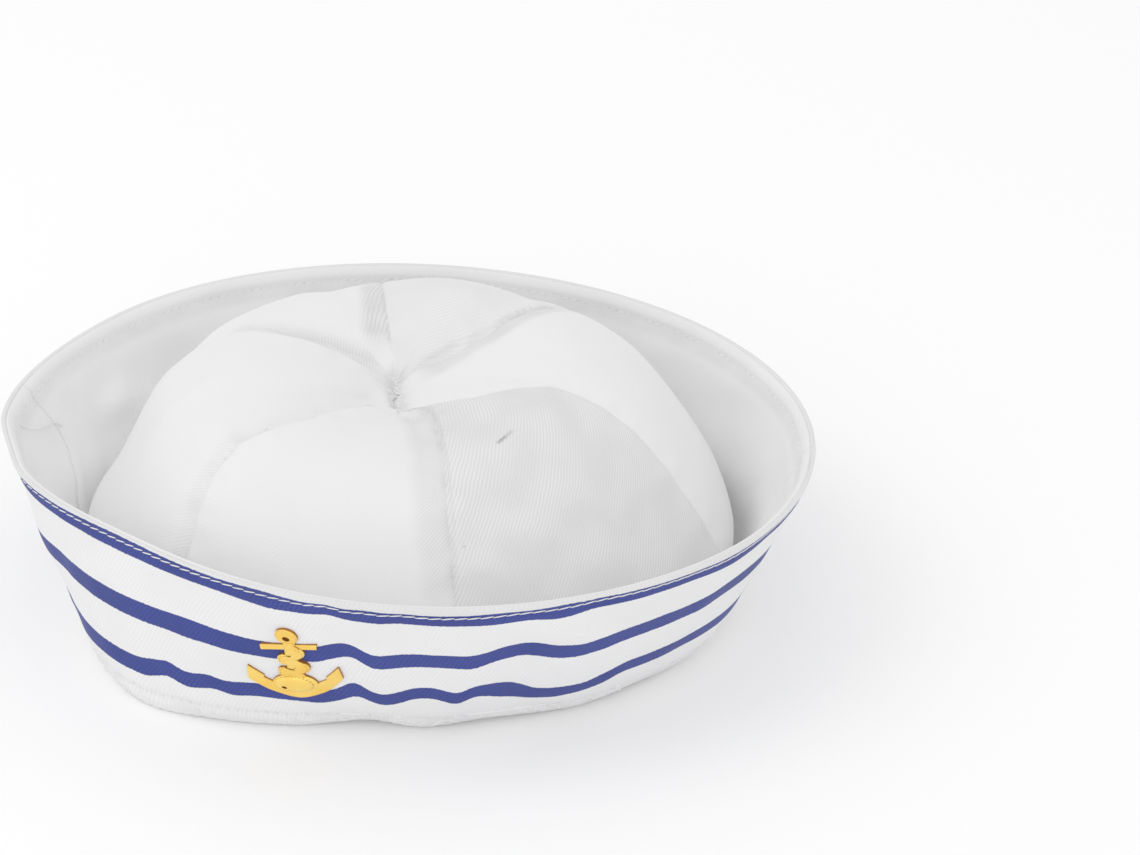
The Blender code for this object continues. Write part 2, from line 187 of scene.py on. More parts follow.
# Painted shade in a band along one side of a crown's seam, where the cloth falls into the seam's valley,
# and over all of a gore turned from the light where the band is as wide as a gore.
# Columns: gore, seam, width (mm), from and to along the seam (mm), how grey from 0 to 1
PAINTED_SEAM_SHADES = [
    (0, 1, 7.5, 6, 120, 0.7),
    (2, 2, 8.0, 14, 60, 1.0),
    (2, 3, 8.0, 4, 60, 0.7),
    (1, 1, 200, 0, 150, 0.35),
    (3, 4, 5.0, 40, 120, 0.3),
    (4, 5, 9.0, 4, 140, 0.55),
    (5, 5, 200, 0, 150, 0.75),
]

# Marks on the crown's cloth, each a short smear seen from above.
# Columns: start x, y, end x, y (mm), half width (mm), brightness left
CROWN_DARK_MARKS = [
    (42.1, -32.8, 44.1, -27.4, 1.0, 0.72),
    (42.3, -32.2, 43.1, -30.0, 0.8, 0.62),
    (41.9, -60.4, 42.2, -60.0, 0.3, 0.6),
]

# A loose thread end that lies on the facing. Columns: angle (degrees), height (mm)
LOOSE_THREAD = [
    (198.3, 54.0),
    (196.8, 51.3),
    (194.7, 48.7),
    (192.3, 46.8),
    (190.3, 44.6),
    (188.6, 43.1),
]

# Where the soft crown stands out further than its solid, or less.
# Columns: angle, half width, fall from the top, half height (all in degrees), outwards (mm)
CROWN_SWELLS = [
    (200, 14, 81, 8, 3.6),
    (188, 12, 57, 10, 2.3),
    (172, 8, 50, 7, 1.2),
    (146, 18, 41, 10, -3.2),
    (285, 42, 77, 11, 3.6),
    (345, 30, 79, 9, 3.4),
]

# How far the facing's side seam leans towards the front. Columns: height (mm), lean (degrees)
SIDE_SEAM = [
    (0, 10),
    (15, 7.5),
    (24, 4.0),
    (27, 2.0),
    (31, 0.4),
    (36, -1.2),
    (42, -1.7),
    (50, -1.4),
    (60, -0.5),
]

# Where the facing is dented by handling.
# Columns: angle (degrees), height, rise towards the crown (mm), half width (degrees), half height (mm)
FACING_DENTS = [
    (179, 29, -0.8, 6, 6),
    (174, 37, 1.3, 7, 5),
    (187, 28, 1.2, 4, 13),
    (199, 50, -0.8, 5, 5),
    (158, 38, -0.8, 9, 12),
    (140, 34, 0.9, 10, 12),
    (215, 38, 0.6, 12, 10),
    (30, 36, 0.8, 15, 12),
    (75, 34, -0.9, 12, 12),
]

# The badge, drawn on the brim's front wall.
# All in millimetres: across from the middle of the front, and up from the badge's height there
BADGE_HEAD = (3.45, 11.2, 3.4, 2.95)
HEAD_EYE = (3.4, 10.5, 1.15, 0.95)
BADGE_BOSS = (3.45, -8.3, 7.0, 3.6)
BOSS_EYE = (0.2, -9.5, 0.85, 0.6)
BOSS_TILT = 8.0
STOCK_EDGES = ([(-5.0, 4.2), (12.1, 7.5)], [(-5.1, 6.2), (12.3, 9.5)])
SHANK_EDGES = ([(1.6, -9.0), (2.2, 9.0)], [(6.0, -9.0), (5.7, 9.0)])
ARM_OUTER = [(-10.6, -8.7), (-8.4, -10.2), (-3.6, -12.7), (4.3, -14.6), (11.9, -11.5), (16.3, -7.5),
             (18.7, -4.2)]
ARM_INNER = [(-10.4, -3.5), (-5.8, -6.6), (-5.9, -7.5), (-3.4, -8.8), (4.2, -10.4), (10.3, -7.6),
             (13.5, -5.5), (13.3, -4.6), (17.7, 0.5)]

# Turns of the flat rope down the shank.
# Columns: middle of the turn across, up (mm), half the rope's width (mm), lift (mm)
ROPE_TURNS = [
    (4.0, 7.0, 1.7, 0.1),
    (6.2, 5.2, 1.9, 0.25),
    (1.6, 1.5, 2.0, 0.15),
    (6.9, -0.9, 2.1, 0.35),
    (1.0, -3.8, 1.9, 0.2),
    (5.2, -5.2, 1.9, 0.3),
]


def linear(code):
    """Linear colour from an sRGB hex value."""
    channels = [int(code[i:i + 2], 16) / 255 for i in (1, 3, 5)]
    return [c / 12.92 if c <= 0.04045 else ((c + 0.055) / 1.055) ** 2.4 for c in channels]


def aside_of(angle, middle):
    """How far angles lie round from a middle one, from -180 to 180 degrees."""
    return (angle - middle + 180) % 360 - 180


def bump(angle, middle, half_width):
    """A soft hump over angles, 1 at its middle and 0 at its ends."""
    off = aside_of(angle, middle)
    return np.where(np.abs(off) < half_width, np.cos(np.pi / 2 * off / half_width) ** 2, 0.0)


def even_noise(points, wavelength, seed, waves=14):
    """Soft noise of about -1 to 1 over points in metres, from plane waves of one length."""
    rng = np.random.default_rng(seed)
    total = np.zeros(points.shape[:-1])
    for _ in range(waves):
        way = rng.normal(size=3)
        way /= np.linalg.norm(way)
        length = wavelength * rng.uniform(0.75, 1.35)
        total += np.sin(points @ way * 2 * np.pi / length + rng.uniform(0, 2 * np.pi))
    return total / math.sqrt(waves) / 1.2


# Forms measured on the solids


def solids_tree(names):
    """The faces of several CAD nodes, to cast rays at."""
    bm = bmesh.new()
    for name in names:
        bm.from_mesh(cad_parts[name].data)
    tree = BVHTree.FromBMesh(bm)
    bm.free()
    return tree


def softened(table, steps):
    """A table smoothed along its second axis, with its end slopes kept."""
    reach = 3 * steps
    weights = np.exp(-0.5 * (np.arange(-reach, reach + 1) / steps) ** 2)
    weights /= weights.sum()
    padded = np.pad(table, ((0, 0), (reach, reach)), mode="reflect", reflect_type="odd")
    return np.array([np.convolve(row, weights, mode="valid") for row in padded])


def between(p0, p1, p2, p3, share):
    """Catmull-Rom value at a share of the way from p1 to p2."""
    slope = p2 - p0
    bend = 2 * p0 - 5 * p1 + 4 * p2 - p3
    twist = 3 * (p1 - p2) + p3 - p0
    return p1 + 0.5 * share * (slope + share * (bend + share * twist))


def rounded(points, shares):
    """Places on a line through a few points, rounded off between them, at shares counted in points."""
    points = np.array(points)
    last = len(points) - 1
    path = []
    for share in shares:
        i = min(int(share), last - 1)
        near = [points[np.clip(i + k, 0, last)] for k in (-1, 0, 1, 2)]
        path.append(between(*near, share - i))
    return np.array(path)


def run_along(points):
    """Lengths run along a line of points from its start."""
    return np.append(0, np.cumsum(np.linalg.norm(np.diff(points, axis=0), axis=1)))


def at_length(where, run, points):
    """Places on a line of points at lengths run along it."""
    return np.stack([np.interp(where, run, column) for column in points.T], axis=-1)


def looked_up(table, turn, rise):
    """Smooth value of a table at turns, which go round, and rises, which end. Both count cells."""
    turns, rises = table.shape
    i = np.floor(turn).astype(int)
    j = np.clip(np.floor(rise).astype(int), 0, rises - 2)
    along = []
    for step in (-1, 0, 1, 2):
        row = (i + step) % turns
        cells = [table[row, np.clip(j + k, 0, rises - 1)] for k in (-1, 0, 1, 2)]
        along.append(between(*cells, rise - j))
    return between(*along, turn - i)


RING_STEP = 6
HEIGHT_STEP = 0.0015
FALL_STEP = 3
BRIM_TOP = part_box(OUTER_NODES[0])[1].z


def ring_table(names, from_outside):
    """Radii of a standing cloth round the Z axis, over angles and heights."""
    tree = solids_tree(names)
    heights = np.arange(HEIGHT_STEP / 2, BRIM_TOP, HEIGHT_STEP)
    table = np.zeros((360 // RING_STEP, len(heights)))
    for i in range(len(table)):
        a = math.radians((i + 0.5) * RING_STEP)
        way = Vector((math.cos(a), math.sin(a), 0))
        for j, height in enumerate(heights):
            start = Vector((0, 0, height))
            if from_outside:
                hit = tree.ray_cast(start + way, -way)
            else:
                hit = tree.ray_cast(start, way)
            table[i, j] = hit[0].xy.length
    return softened(table, 2)


OUTER_RING = ring_table(OUTER_NODES, True)
INSIDE_RING = ring_table(GORE_NODES, False)


def ring_radius(table, angle, height):
    """Radius of a measured cloth at an angle and a height."""
    radius = looked_up(table, angle / RING_STEP - 0.5, height / HEIGHT_STEP - 0.5)
    for middle, half_width, level, half_height, outwards in WALL_BULGES:
        tall = humped(height - level * MM, 1, half_height * MM)
        radius = radius + bump(angle, middle, half_width) * tall * outwards * MM
    return radius


def polar(angle, radius, height):
    """Points at angles in degrees, distances from the Z axis and heights."""
    a = np.radians(angle)
    return np.stack([radius * np.cos(a), radius * np.sin(a), height + 0 * angle], axis=-1)


def crown_heart():
    """The point inside the crown that its directions are counted from."""
    corners = [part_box(name) for name in GORE_NODES]
    low = [min(box[0][k] for box in corners) for k in range(3)]
    high = [max(box[1][k] for box in corners) for k in range(3)]
    return np.array([(low[0] + high[0]) / 2, (low[1] + high[1]) / 2, high[2] * 0.12])


HEART = crown_heart()


def direction(angle, fall):
    """Unit vector at an angle round the Z axis and a fall from the vertical, in degrees."""
    a = np.radians(angle)
    f = np.radians(fall)
    return np.stack([np.sin(f) * np.cos(a), np.sin(f) * np.sin(a), np.cos(f) + 0 * a], axis=-1)


def crown_table():
    """Distances of the crown's outside from its heart, over angles and falls."""
    tree = solids_tree(GORE_NODES)
    heart = Vector(HEART)
    falls = np.arange(0, 97, FALL_STEP)
    table = np.zeros((360 // RING_STEP, len(falls)))
    for i in range(len(table)):
        for j, fall in enumerate(falls):
            found = []
            for aside in (-0.5, 0.5):
                angle = (i + 0.5) * RING_STEP + aside
                way = Vector(direction(np.float64(angle), np.float64(fall + aside)))
                hit = tree.ray_cast(heart + way * 0.3, -way)
                if hit[0] is not None:
                    found.append((hit[0] - heart).dot(way))
            table[i, j] = max(found) if found else table[i, j - 1]
    return softened(table, 1)


CROWN_FORM = crown_table()


def angle_and_fall(ways):
    """Angles round the Z axis and falls from the vertical of unit vectors, in degrees."""
    angle = np.degrees(np.arctan2(ways[..., 1], ways[..., 0]))
    return angle, np.degrees(np.arccos(np.clip(ways[..., 2], -1, 1)))


def crown_points(ways):
    """Points of the crown's outside in the given unit directions from its heart."""
    angle, fall = angle_and_fall(ways)
    far = looked_up(CROWN_FORM, angle / RING_STEP - 0.5, fall / FALL_STEP)
    return HEART + ways * far[..., None]


def crown_above(x, y):
    """The crown's outside straight above a place, x and y in metres."""
    flat = np.array([x, y]) - HEART[:2]
    angle = math.degrees(math.atan2(flat[1], flat[0]))
    falls = np.arange(0, 86, 0.5)
    points = crown_points(direction(np.full(len(falls), angle), falls))
    reach = np.hypot(points[:, 0] - HEART[0], points[:, 1] - HEART[1])
    return points[np.argmax(reach >= np.hypot(*flat))]


# Making meshes

# Distance at which points of a cloth are joined, bevel along its edges, and least height of all
WELD = 0.02 * MM
EDGE_ROUNDING = 0.28 * MM
FLOOR_GAP = 0.05 * MM


def grid_normals(points, inside):
    """Unit normals of a grid of points, turned away from a point inside."""
    across = np.gradient(points, axis=1)
    along = np.gradient(points, axis=0)
    normals = np.cross(across, along)
    normals /= np.maximum(np.linalg.norm(normals, axis=-1, keepdims=True), 1e-12)
    away = np.sum(normals * (points - inside), axis=-1, keepdims=True)
    return np.where(np.median(away) < 0, -normals, normals)


def row_lengths(points, axis):
    """Lengths run along a grid from its start, in metres."""
    steps = np.linalg.norm(np.diff(points, axis=axis), axis=-1)
    start = np.zeros_like(np.take(steps, [0], axis=axis))
    return np.concatenate([start, np.cumsum(steps, axis=axis)], axis=axis)


def grid_places(verts, rows, columns):
    """The row and the column of each vertex of a new flat grid."""
    return {vert: (round((vert.co.y + 1) / 2 * rows), round((vert.co.x + 1) / 2 * columns))
            for vert in verts}


def cloth_piece(name, points, charts, outward, thickness, mat, back=None):
    """A cloth carried from a flat grid to its points, with UV charts in millimetres, made solid."""
    rows, columns = points.shape[0] - 1, points.shape[1] - 1
    bm = bmesh.new()
    bmesh.ops.create_grid(bm, x_segments=columns, y_segments=rows, size=1.0)
    layers = {chart: bm.loops.layers.uv.new(chart) for chart in charts}
    places = grid_places(bm.verts, rows, columns)
    for chart, layer in layers.items():
        spots = {vert: Vector(charts[chart][place]) for vert, place in places.items()}
        for vert, spot in spots.items():
            for loop in vert.link_loops:
                loop[layer].uv = spot
    for vert, place in places.items():
        vert.co = points[place]
    bmesh.ops.remove_doubles(bm, verts=bm.verts[:], dist=WELD)
    bm.normal_update()
    facing = sum(face.normal.dot(face.calc_center_median() - Vector(HEART)) for face in bm.faces)
    if (facing > 0) != outward:
        bmesh.ops.reverse_faces(bm, faces=bm.faces[:])
    piece = new_piece(name, bm, mat)
    if back is not None:
        piece.data.materials.append(back)
    wall = piece.modifiers.new("cloth_thickness", "SOLIDIFY")
    wall.thickness = thickness
    wall.offset = -1
    wall.material_offset = len(piece.data.materials) - 1
    edge = piece.modifiers.new("rounded_edges", "BEVEL")
    edge.limit_method = "ANGLE"
    edge.angle_limit = math.radians(55)
    edge.width = EDGE_ROUNDING
    edge.segments = 2
    return piece


def new_piece(name, bm, mat):
    """A smooth-shaded object from a bmesh, riding on the hat's body."""
    for vert in bm.verts:
        vert.co.z = max(vert.co.z, FLOOR_GAP)
    mesh = bpy.data.meshes.new(name)
    bm.to_mesh(mesh)
    bm.free()
    mesh.shade_smooth()
    mesh.materials.append(mat)
    piece = bpy.data.objects.new(name, mesh)
    bpy.context.scene.collection.objects.link(piece)
    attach(piece, BODY)
    return piece


# Materials


def feed(tree, node, inputs):
    """Links or sets a node's inputs, which are given in order, or by name or number."""
    for key, value in inputs.items() if isinstance(inputs, dict) else enumerate(inputs):
        if isinstance(value, bpy.types.NodeSocket):
            tree.links.new(value, node.inputs[key])
        else:
            node.inputs[key].default_value = value


def add_node(tree, kind, inputs=(), out=0, **settings):
    """Adds a shader node with its inputs and its own settings, and gives one of its outputs."""
    node = tree.nodes.new("ShaderNode" + kind)
    for key, value in settings.items():
        setattr(node, key, value)
    feed(tree, node, inputs)
    return node.outputs[out]


def blank_material(name):
    """A material with nothing in it but its Principled shader."""
    mat = bpy.data.materials.new(name)
    mat.use_nodes = True
    return mat, mat.node_tree, mat.node_tree.nodes["Principled BSDF"]


# Spacings of the twill's ribs, its threads and the needle holes, in millimetres.
# The ribs and threads are drawn coarser than a real twill's, so that they show.
RIB_SPACING = 1.05
THREAD_SPACING = 0.6
RIB_SLANT = 42.0
HOLE_SPACING = 3.0


def chart_axes(tree, chart):
    """How far across and down a UV chart a place lies."""
    across = add_node(tree, "SeparateXYZ", [add_node(tree, "UVMap", uv_map=chart)])
    return across, across.node.outputs["Y"]


def clouds(tree, place, scale, detail, *levels):
    """Soft noise over a place, whose two given levels are carried to two others, or to 0 and 1."""
    noise = add_node(tree, "TexNoise", {"Vector": place, "Scale": scale, "Detail": detail})
    return add_node(tree, "MapRange", [noise, *levels])


def band_at(tree, place, middle, inner, outer):
    """A band along a line: 1 within the inner distance from its middle, 0 beyond the outer one."""
    off = add_node(tree, "Math", [place, middle], operation="SUBTRACT")
    far = add_node(tree, "Math", [off], operation="ABSOLUTE")
    return add_node(tree, "MapRange", [far, inner, outer, 1.0, 0.0])


def twill_height(tree):
    """Height of a twill's slanted ribs, crossed by its threads, over the cloth's chart."""
    uv = add_node(tree, "UVMap", uv_map="cloth")
    waver = add_node(tree, "TexNoise", {"Vector": uv, "Scale": 0.08, "Detail": 2.0}, "Color",
                     noise_dimensions="2D")
    shifted = add_node(tree, "VectorMath", {0: waver, "Scale": 1.5}, operation="SCALE")
    place = add_node(tree, "VectorMath", [uv, shifted], operation="ADD")
    waves = []
    for spacing, slant in ((RIB_SPACING, RIB_SLANT), (THREAD_SPACING, RIB_SLANT - 90)):
        a = math.radians(slant)
        pace = 2 * math.pi / spacing
        way = (math.cos(a) * pace, math.sin(a) * pace, 0.0)
        phase = add_node(tree, "VectorMath", [place, way], "Value", operation="DOT_PRODUCT")
        waves.append(add_node(tree, "Math", [phase], operation="SINE"))
    rib = add_node(tree, "MapRange", [waves[0], -1.0, 1.0])
    thread = add_node(tree, "MapRange", [waves[1], -1.0, 1.0, 0.72, 1.0])
    woven = add_node(tree, "Math", [rib, thread], operation="MULTIPLY")
    crisp = clouds(tree, uv, 0.05, 1.0, 0.4, 0.62, 0.3, 1.15)
    pressed_ribs_and_rim_shade = add_node(tree, "Math", [woven, crisp], operation="MULTIPLY")
    fuzz = add_node(tree, "TexNoise", {"Vector": uv, "Scale": 2.2, "Detail": 3.0})
    return add_node(tree, "Math", [fuzz, 0.4, pressed_ribs_and_rim_shade], operation="MULTIPLY_ADD")


def furrows(tree, height):
    """Where the cloth is low between its ribs: 1 there, 0 on top of them."""
    return add_node(tree, "MapRange", [height, 0.1, 0.9, 1.0, 0.0])


def needle_holes(tree, chart, line):
    """A row of needle holes along a line of a chart: 1 in a hole's middle, 0 away from it."""
    run, down = chart_axes(tree, chart)
    count = add_node(tree, "Math", [run, HOLE_SPACING], operation="DIVIDE")
    share = add_node(tree, "Math", [count], operation="FRACT")
    along = add_node(tree, "Math", [share, HOLE_SPACING, -HOLE_SPACING / 2], operation="MULTIPLY_ADD")
    off = add_node(tree, "Math", [down, line], operation="SUBTRACT")
    place = add_node(tree, "CombineXYZ", [along, off])
    far = add_node(tree, "VectorMath", [place], "Value", operation="LENGTH")
    return add_node(tree, "MapRange", [far, 0.15, 0.6, 1.0, 0.0], interpolation_type="SMOOTHSTEP")


def below_hem_shade(tree, line):
    """Painted shade on the cloth just beyond a hem's inner edge, where one layer lets light through: 1
    there, fading to 0.
    """
    _, down = chart_axes(tree, "cloth")
    edge = add_node(tree, "MapRange", [down, line - 0.2, line + 0.9], interpolation_type="SMOOTHSTEP")
    fade = add_node(tree, "MapRange", [down, line + 2.5, line + 6.0, 1.0, 0.0],
                    interpolation_type="SMOOTHSTEP")
    band = add_node(tree, "Math", [edge, fade], operation="MULTIPLY")
    uv = add_node(tree, "UVMap", uv_map="cloth")
    patchy = clouds(tree, uv, 0.09, 1.0, 0.35, 0.65, 0.4, 1.3)
    return add_node(tree, "Math", [band, patchy], operation="MULTIPLY")


def smear(tree, x0, y0, x1, y1, half_width):
    """A short dark mark on the crown's top: 1 on it, 0 away from it. All in millimetres."""
    place = add_node(tree, "TexCoord", out="Object")
    start = (x0 * MM, y0 * MM, 0.0)
    line = ((x1 - x0) * MM, (y1 - y0) * MM, 0.0)
    pace = tuple(part / (line[0] ** 2 + line[1] ** 2) for part in line)
    flat = add_node(tree, "VectorMath", [place, (1, 1, 0)], operation="MULTIPLY")
    off = add_node(tree, "VectorMath", [flat, start], operation="SUBTRACT")
    share = add_node(tree, "VectorMath", [off, pace], "Value", operation="DOT_PRODUCT")
    held = add_node(tree, "Clamp", [share])
    along = add_node(tree, "VectorMath", {0: line, "Scale": held}, operation="SCALE")
    away = add_node(tree, "VectorMath", [off, along], "Value", operation="DISTANCE")
    ragged = add_node(tree, "TexNoise", {"Vector": place, "Scale": 1400.0, "Detail": 2.0})
    spread = add_node(tree, "Math", [ragged, half_width * MM * 0.9, away], operation="MULTIPLY_ADD")
    return add_node(tree, "MapRange", [spread, 0.2 * half_width * MM, 1.7 * half_width * MM, 1.0, 0.0],
                    interpolation_type="SMOOTHSTEP")


def shaded(tree, colour, mask, shade):
    """A colour that a mask takes down to a share of its brightness."""
    kept = add_node(tree, "MapRange", [mask, 0.0, 1.0, 1.0, shade])
    return multiplied(tree, colour, kept)


def multiplied(tree, colour, tone):
    """A colour times a brightness."""
    return add_node(tree, "Mix", {0: 1.0, 6: colour, 7: tone}, 2, data_type="RGBA", blend_type="MULTIPLY")


def cotton_finish(tree, shader, colour, height, holes=None, depth=1.0):
    """Cotton: matt, a little sheen of loose fibre, ribs in relief with painted shade in their furrows,
    uneven bleaching, needle holes with painted shade in them.
    """
    uv = add_node(tree, "UVMap", uv_map="cloth")
    shade = clouds(tree, uv, 0.035, 3.0, 0.3, 0.7, 0.975, 1.0)
    # Painted shade in the furrows between the ribs
    dip = add_node(tree, "MapRange", [height, 0.0, 1.2, 0.973, 1.0])
    tone = add_node(tree, "Math", [shade, dip], operation="MULTIPLY")
    toned = multiplied(tree, colour, tone)
    relief = add_node(tree, "Bump", {"Strength": 0.25, "Distance": 0.12 * MM, "Height": height})
    if holes is not None:
        # Painted shade in the needle holes
        toned = shaded(tree, toned, holes, 1 - 0.3 * depth)
        relief = add_node(tree, "Bump", {"Strength": 0.6 * depth, "Distance": 0.4 * MM, "Height": holes,
                                         "Normal": relief}, invert=True)
    feed(tree, shader, {"Base Color": toned, "Normal": relief, "Roughness": 0.88,
                        "Specular IOR Level": 0.25, "Sheen Weight": 0.08, "Sheen Roughness": 0.45})


def seam_shade_mask(tree):
    """Where painted shade lies beside a seam or over a gore, from its chart: 1 on it, 0 elsewhere."""
    share, grey = chart_axes(tree, "allowances")
    place = add_node(tree, "TexCoord", out="Object")
    wander = add_node(tree, "TexNoise", {"Vector": place, "Scale": 90.0, "Detail": 1.0})
    edge = add_node(tree, "Math", [wander, 0.35, share], operation="MULTIPLY_ADD")
    inside = add_node(tree, "MapRange", [edge, 0.85, 1.45, 1.0, 0.0], interpolation_type="SMOOTHSTEP")
    return add_node(tree, "Math", [inside, grey], operation="MULTIPLY")


def crown_twill(colour):
    """Bleached cotton twill, woven: chalky white with fine slanted ribs, a few dark marks, and painted
    shade beside its seams.
    """
    mat, tree, shader = blank_material("bleached_cotton_twill")
    height = twill_height(tree)
    shade_by_seams = seam_shade_mask(tree)
    # Painted shade: beside the seams and over the gores turned from the light the cloth is a little
    # greyer, and there the furrows between its ribs get more painted shade, as grazing light would give
    # them
    ribs = add_node(tree, "Math", [furrows(tree, height), shade_by_seams], operation="MULTIPLY")
    marked = shaded(tree, (*colour, 1), shade_by_seams, 0.92)
    marked = shaded(tree, marked, ribs, 0.8)
    for *line, half_width, left in CROWN_DARK_MARKS:
        marked = shaded(tree, marked, smear(tree, *line, half_width), left)
    cotton_finish(tree, shader, marked, height, needle_holes(tree, "seams", 1.6), 0.16)
    return mat


def facing_twill(colour, hem):
    """The same bleached twill inside the brim, whose colour is brightened as painted light: needle holes
    on its hem, painted shade just below it.
    """
    mat, tree, shader = blank_material("bleached_cotton_twill_facing")
    _, down = chart_axes(tree, "cloth")
    # Painted light: the brightened white stands in for light that the thin cloth lets into the trough,
    # and is greyed back towards the rim, less so from 10 to 36 millimetres down
    painted_light_fade = add_node(tree, "MapRange", [down, 10.0, 36.0, 1.0, 0.0], interpolation_type="SMOOTHSTEP")
    greyed = shaded(tree, (*colour, 1), painted_light_fade, 0.87)
    # Painted shade just below the hem's stitching
    greyed = shaded(tree, greyed, below_hem_shade(tree, hem), 0.94)
    cotton_finish(tree, shader, greyed, twill_height(tree), needle_holes(tree, "cloth", hem), 0.5)
    return mat


def twill_back(colour):
    """The unprinted back of the striped twill: the same ribs, plain white."""
    mat, tree, shader = blank_material("striped_cotton_twill_back")
    cotton_finish(tree, shader, (*colour, 1), twill_height(tree))
    return mat


def striped_twill(white, blue):
    """Cotton twill with printed stripes: flat matt blue, ragged at its edges, with painted shade between
    the ribs.
    """
    mat, tree, shader = blank_material("striped_cotton_twill")
    height = twill_height(tree)
    furrow = furrows(tree, height)
    chart = add_node(tree, "UVMap", uv_map="stripes")
    frayed = clouds(tree, chart, 0.9, 2.0, 0.3, 0.7, -0.12, 0.12)
    _, down = chart_axes(tree, "stripes")
    place = add_node(tree, "Math", [down, frayed], operation="ADD")
    # Painted shade on the rim's fold, down to the first stripe, as its roundness turns it from the light
    pressed_ribs_and_rim_shade = add_node(tree, "MapRange", [place, 1.4, 2.2, 1.0, 0.0])
    plain = shaded(tree, (*white, 1), pressed_ribs_and_rim_shade, 0.9)
    # Painted shade in the furrows between the ribs: faint on the white, strong on the blue
    plain = shaded(tree, plain, furrow, 0.95)
    printed = 0.0
    for middle, width in STRIPES:
        band = band_at(tree, place, middle, width / 2 - 0.1, width / 2 + 0.1)
        printed = add_node(tree, "Math", [printed, band], operation="MAXIMUM")
    ribbed = shaded(tree, (*blue, 1), furrow, 0.76)
    dye = add_node(tree, "Mix", {0: printed, 6: plain, 7: ribbed}, 2, data_type="RGBA")
    cotton_finish(tree, shader, dye, height, needle_holes(tree, "foot", 0.0), 0.4)
    return mat


def speckled(tree, colour, scale, detail, dark):
    """A colour that fine grain takes down, here and there, to a share of its brightness."""
    place = add_node(tree, "TexCoord", out="Object")
    grain = add_node(tree, "TexNoise", {"Vector": place, "Scale": scale, "Detail": detail})
    darkest = (*[dark * c for c in colour], 1)
    return add_node(tree, "Mix", {0: grain, 6: darkest, 7: (*colour, 1)}, 2, data_type="RGBA")


def thread_material(colour):
    """Spun polyester thread: smooth, brighter than the cloth, with a soft gloss."""
    mat, tree, shader = blank_material("spun_thread")
    feed(tree, shader, {"Base Color": speckled(tree, colour, 1800.0, 1.0, 0.86), "Roughness": 0.55,
                        "Sheen Weight": 0.5, "Sheen Roughness": 0.4})
    return mat


def plated_gold(colour):
    """Zinc alloy, die-cast and plated in satin gold: soft wide highlights, strand marks cut in it with
    painted shade in them.
    """
    mat, tree, shader = blank_material("satin_gold_plating")
    place = add_node(tree, "TexCoord", out="Object")
    grain = add_node(tree, "TexNoise", {"Vector": place, "Scale": 900.0, "Detail": 4.0})
    rough = add_node(tree, "MapRange", [grain, 0.35, 0.65, 0.28, 0.44])
    run, inwards = chart_axes(tree, "relief")
    line = band_at(tree, inwards, 0.55, 0.06, 0.16)
    turn = add_node(tree, "Math", [run, 2 * math.pi / MARK_SPACING], operation="MULTIPLY")
    wave = add_node(tree, "Math", [turn], operation="SINE")
    dash = add_node(tree, "MapRange", [wave, -0.5, 0.1])
    marks = add_node(tree, "Math", [line, dash], operation="MULTIPLY")
    shade = clouds(tree, place, 160.0, 1.0, 0.35, 0.65)
    warmer = (0.98 * colour[0], 0.88 * colour[1], 0.7 * colour[2], 1)
    uneven = add_node(tree, "Mix", {0: shade, 6: (*colour, 1), 7: warmer}, 2, data_type="RGBA")
    fine = add_node(tree, "Bump", {"Strength": 0.25, "Distance": 0.05 * MM, "Height": grain})
    relief = add_node(tree, "Bump", {"Strength": 0.5, "Distance": 0.2 * MM, "Height": marks,
                                     "Normal": fine}, invert=True)
    # Painted shade in the cut strand marks
    feed(tree, shader, {"Base Color": shaded(tree, uneven, marks, 0.55), "Metallic": 1.0,
                        "Roughness": rough, "Normal": relief})
    return mat


def edge_shade_gold(colour):
    """Painted shade on the badge's side walls and the floors of its eyes: a darker, rougher gold."""
    mat, tree, shader = blank_material("gold_edge_painted_shade")
    feed(tree, shader, {"Base Color": speckled(tree, colour, 1200.0, 3.0, 0.6), "Metallic": 0.9,
                        "Roughness": 0.6})
    return mat


# Settings that a user would change


class ClothSettings(bpy.types.PropertyGroup):
    """Colours and thickness of the hat's cloth."""

    white: bpy.props.FloatVectorProperty(
        name="White", description="Colour of the bleached twill", subtype="COLOR",
        size=3, min=0, max=1, default=linear("#E8E8E8"))
    # Painted light: brighter than the crown's white, standing in for the light that the thin cloth lets
    # into the trough
    facing_white_painted_light: bpy.props.FloatVectorProperty(
        name="Facing White", description="Colour of the twill inside the brim, where light gathers",
        subtype="COLOR", size=3, min=0, max=1, default=linear("#F9F9F9"))
    brim_white: bpy.props.FloatVectorProperty(
        name="Brim White", description="Colour of the striped twill between its stripes",
        subtype="COLOR", size=3, min=0, max=1, default=linear("#E9E9EA"))
    blue: bpy.props.FloatVectorProperty(
        name="Blue", description="Colour of the stripes", subtype="COLOR",
        size=3, min=0, max=1, default=linear("#2B3784"))
    brim_thickness: bpy.props.FloatProperty(
        name="Brim Cloth", description="Thickness of each of the brim's two cloths",
        default=1.22 * MM, min=0.0003, unit="LENGTH")
    crown_thickness: bpy.props.FloatProperty(
        name="Crown Cloth", description="Thickness of the crown's cloth",
        default=1.2 * MM, min=0.0003, unit="LENGTH")


